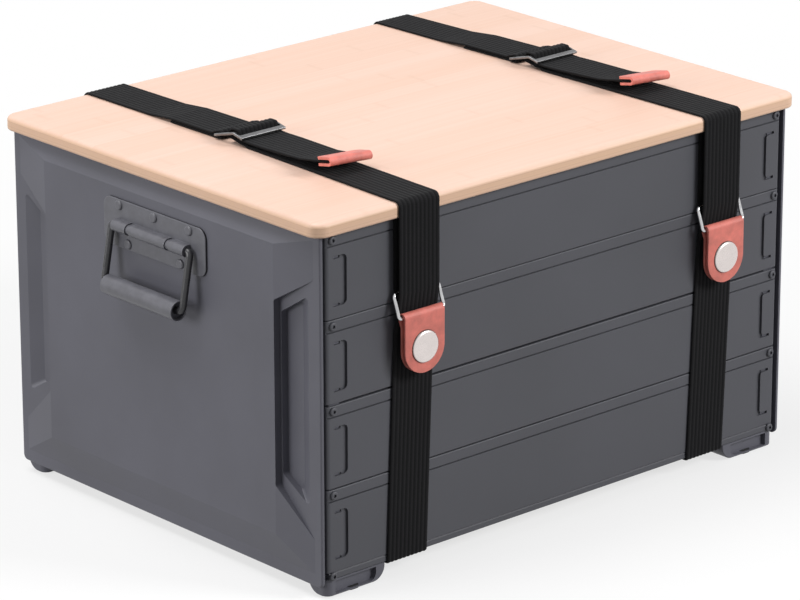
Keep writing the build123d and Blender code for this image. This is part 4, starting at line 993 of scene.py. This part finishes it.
class SetStage(bpy.types.Operator):
    """Sets the pale floor, the soft lights and the camera"""
    bl_idname = "camping_box.set_stage"
    bl_label = "Set the stage"

    def execute(self, context):
        scene = context.scene
        sizes = scene.stage_sizes
        scene.view_settings.view_transform = "Standard"

        # Floor
        rings, spokes = 10, 96
        points = [(0, 0, 0)]
        faces = []
        for r in range(1, rings + 1):
            for s in range(spokes):
                angle = 2 * math.pi * s / spokes
                reach = sizes.floor_radius * (r / rings) ** 1.5
                points.append((reach * math.cos(angle), reach * math.sin(angle), 0))
        for s in range(spokes):
            t = (s + 1) % spokes
            faces.append((0, 1 + s, 1 + t))
            for r in range(rings - 1):
                a, b = 1 + r * spokes, 1 + (r + 1) * spokes
                faces.append((a + s, b + s, b + t, a + t))
        mesh = bpy.data.meshes.new("floor")
        mesh.from_pydata(points, [], faces)
        floor = bpy.data.objects.new("floor", mesh)
        scene.collection.objects.link(floor)
        made, tree, shader = new_material("Pale floor")
        shader.inputs["Base Color"].default_value = (0.92, 0.92, 0.92, 1)
        shader.inputs["Roughness"].default_value = 0.9
        shader.inputs["Specular IOR Level"].default_value = 0.1
        place = put(tree, "ShaderNodeTexCoord").outputs["Object"]
        reach = put(tree, "ShaderNodeVectorMath", {0: place}, operation="LENGTH").outputs["Value"]
        far = spread(tree, reach, 0.45, 1.1)
        path = put(tree, "ShaderNodeLightPath").outputs
        seen = calc(tree, "MAXIMUM", path["Is Camera Ray"],
                    calc(tree, "MAXIMUM", path["Is Glossy Ray"], path["Is Transmission Ray"]))
        glow = put(tree, "ShaderNodeEmission", {"Color": (1, 1, 1, 1), "Strength": 1.0}).outputs[0]
        bounce = put(tree, "ShaderNodeBsdfDiffuse", {"Color": rgba([sizes.floor_bounce] * 3)}).outputs[0]
        lit = put(tree, "ShaderNodeMixShader", {0: seen, 1: bounce, 2: shader.outputs[0]}).outputs[0]
        pale = spread(tree, far, 0.0, 1.0, 0.7, 1.0)
        both = put(tree, "ShaderNodeMixShader", {0: calc(tree, "MULTIPLY", pale, seen), 1: lit, 2: glow})
        out = [n for n in tree.nodes if n.type == "OUTPUT_MATERIAL"][0]
        tree.links.new(both.outputs[0], out.inputs["Surface"])
        mesh.materials.append(made)

        # Surround
        world = bpy.data.worlds.new("Surround")
        scene.world = world
        world.use_nodes = True
        tree = world.node_tree
        tree.nodes.clear()
        path = put(tree, "ShaderNodeLightPath").outputs
        seen = calc(tree, "MAXIMUM", path["Is Camera Ray"],
                    calc(tree, "MAXIMUM", path["Is Glossy Ray"], path["Is Transmission Ray"]))
        dim = put(tree, "ShaderNodeBackground", {"Color": (1, 1, 1, 1), "Strength": sizes.ambient}).outputs[0]
        white = put(tree, "ShaderNodeBackground", {"Color": (1, 1, 1, 1), "Strength": 1.0}).outputs[0]
        both = put(tree, "ShaderNodeMixShader", {0: seen, 1: dim, 2: white}).outputs[0]
        put(tree, "ShaderNodeOutputWorld", {"Surface": both})

        # Lights
        for name, place, target, size, power in (
            ("top", (-0.9, 0.5, 3.0), (0, 0, 0.2), 1.6, sizes.top_power),
            ("left", (-2.6, 0.8, 0.9), (0, 0, 0.15), 1.2, sizes.left_power),
            ("right", (1.4, -2.5, 1.75), (0, 0, 0.15), 1.0, sizes.right_power),
        ):
            lamp = bpy.data.lights.new(name, "AREA")
            lamp.shape = "SQUARE"
            lamp.size = size
            lamp.energy = power
            light = bpy.data.objects.new(name, lamp)
            light.location = place
            light.rotation_euler = (Vector(target) - Vector(place)).to_track_quat("-Z", "Y").to_euler()
            scene.collection.objects.link(light)

        # Camera
        lens = bpy.data.cameras.new("camera")
        lens.lens = sizes.lens
        lens.sensor_width = 36.0
        lens.clip_start, lens.clip_end = 0.05, 60.0
        camera = bpy.data.objects.new("camera", lens)
        start, target = Vector(sizes.camera_place), Vector(sizes.camera_target)
        turn = (target - start).to_track_quat("-Z", "Y").to_matrix()
        roll = sizes.camera_roll
        right = turn @ Vector((math.cos(roll), math.sin(roll), 0))
        up = turn @ Vector((-math.sin(roll), math.cos(roll), 0))
        back = turn @ Vector((0, 0, 1))
        pose = turn.copy()
        for k in range(3):
            pose[k] = (right[k], up[k], back[k])
        camera.location = start
        camera.rotation_euler = pose.to_euler()
        scene.collection.objects.link(camera)
        scene.camera = camera
        return {"FINISHED"}


class DressPanel(bpy.types.Panel):
    bl_idname = "VIEW3D_PT_camping_box"
    bl_label = "Camping box"
    bl_space_type = "VIEW_3D"
    bl_region_type = "UI"
    bl_category = "Camping box"

    def draw(self, context):
        for group in (context.scene.box_finishes, context.scene.strap_sizes, context.scene.leather_sizes,
                      context.scene.stage_sizes):
            column = self.layout.column()
            for key in group.__annotations__:
                column.prop(group, key)
        for step in STEPS:
            self.layout.operator(step.bl_idname)


STEPS = (FinishEnds, FinishPlanks, FinishLid, FinishHandles, FinishFittings, LayStraps, LayKeepers, FoldTabs,
         FoldTips, SetStage)
GROUPS = {"box_finishes": BoxFinishes, "strap_sizes": StrapSizes, "leather_sizes": LeatherSizes,
          "stage_sizes": StageSizes}


def register():
    for group in GROUPS.values():
        bpy.utils.register_class(group)
    for key, group in GROUPS.items():
        setattr(bpy.types.Scene, key, PointerProperty(type=group))
    for step in STEPS:
        bpy.utils.register_class(step)
    bpy.utils.register_class(DressPanel)


def unregister():
    bpy.utils.unregister_class(DressPanel)
    for step in reversed(STEPS):
        bpy.utils.unregister_class(step)
    for key in GROUPS:
        delattr(bpy.types.Scene, key)
    for group in GROUPS.values():
        bpy.utils.unregister_class(group)


def main():
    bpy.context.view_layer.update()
    register()
    bpy.ops.camping_box.set_stage()
    bpy.ops.camping_box.finish_ends()
    bpy.ops.camping_box.finish_planks()
    bpy.ops.camping_box.finish_lid()
    bpy.ops.camping_box.finish_handles()
    bpy.ops.camping_box.finish_fittings()
    bpy.ops.camping_box.lay_straps()
    bpy.ops.camping_box.lay_keepers()
    bpy.ops.camping_box.fold_tabs()
    bpy.ops.camping_box.fold_tips()


if __name__ == "__main__":
    main()
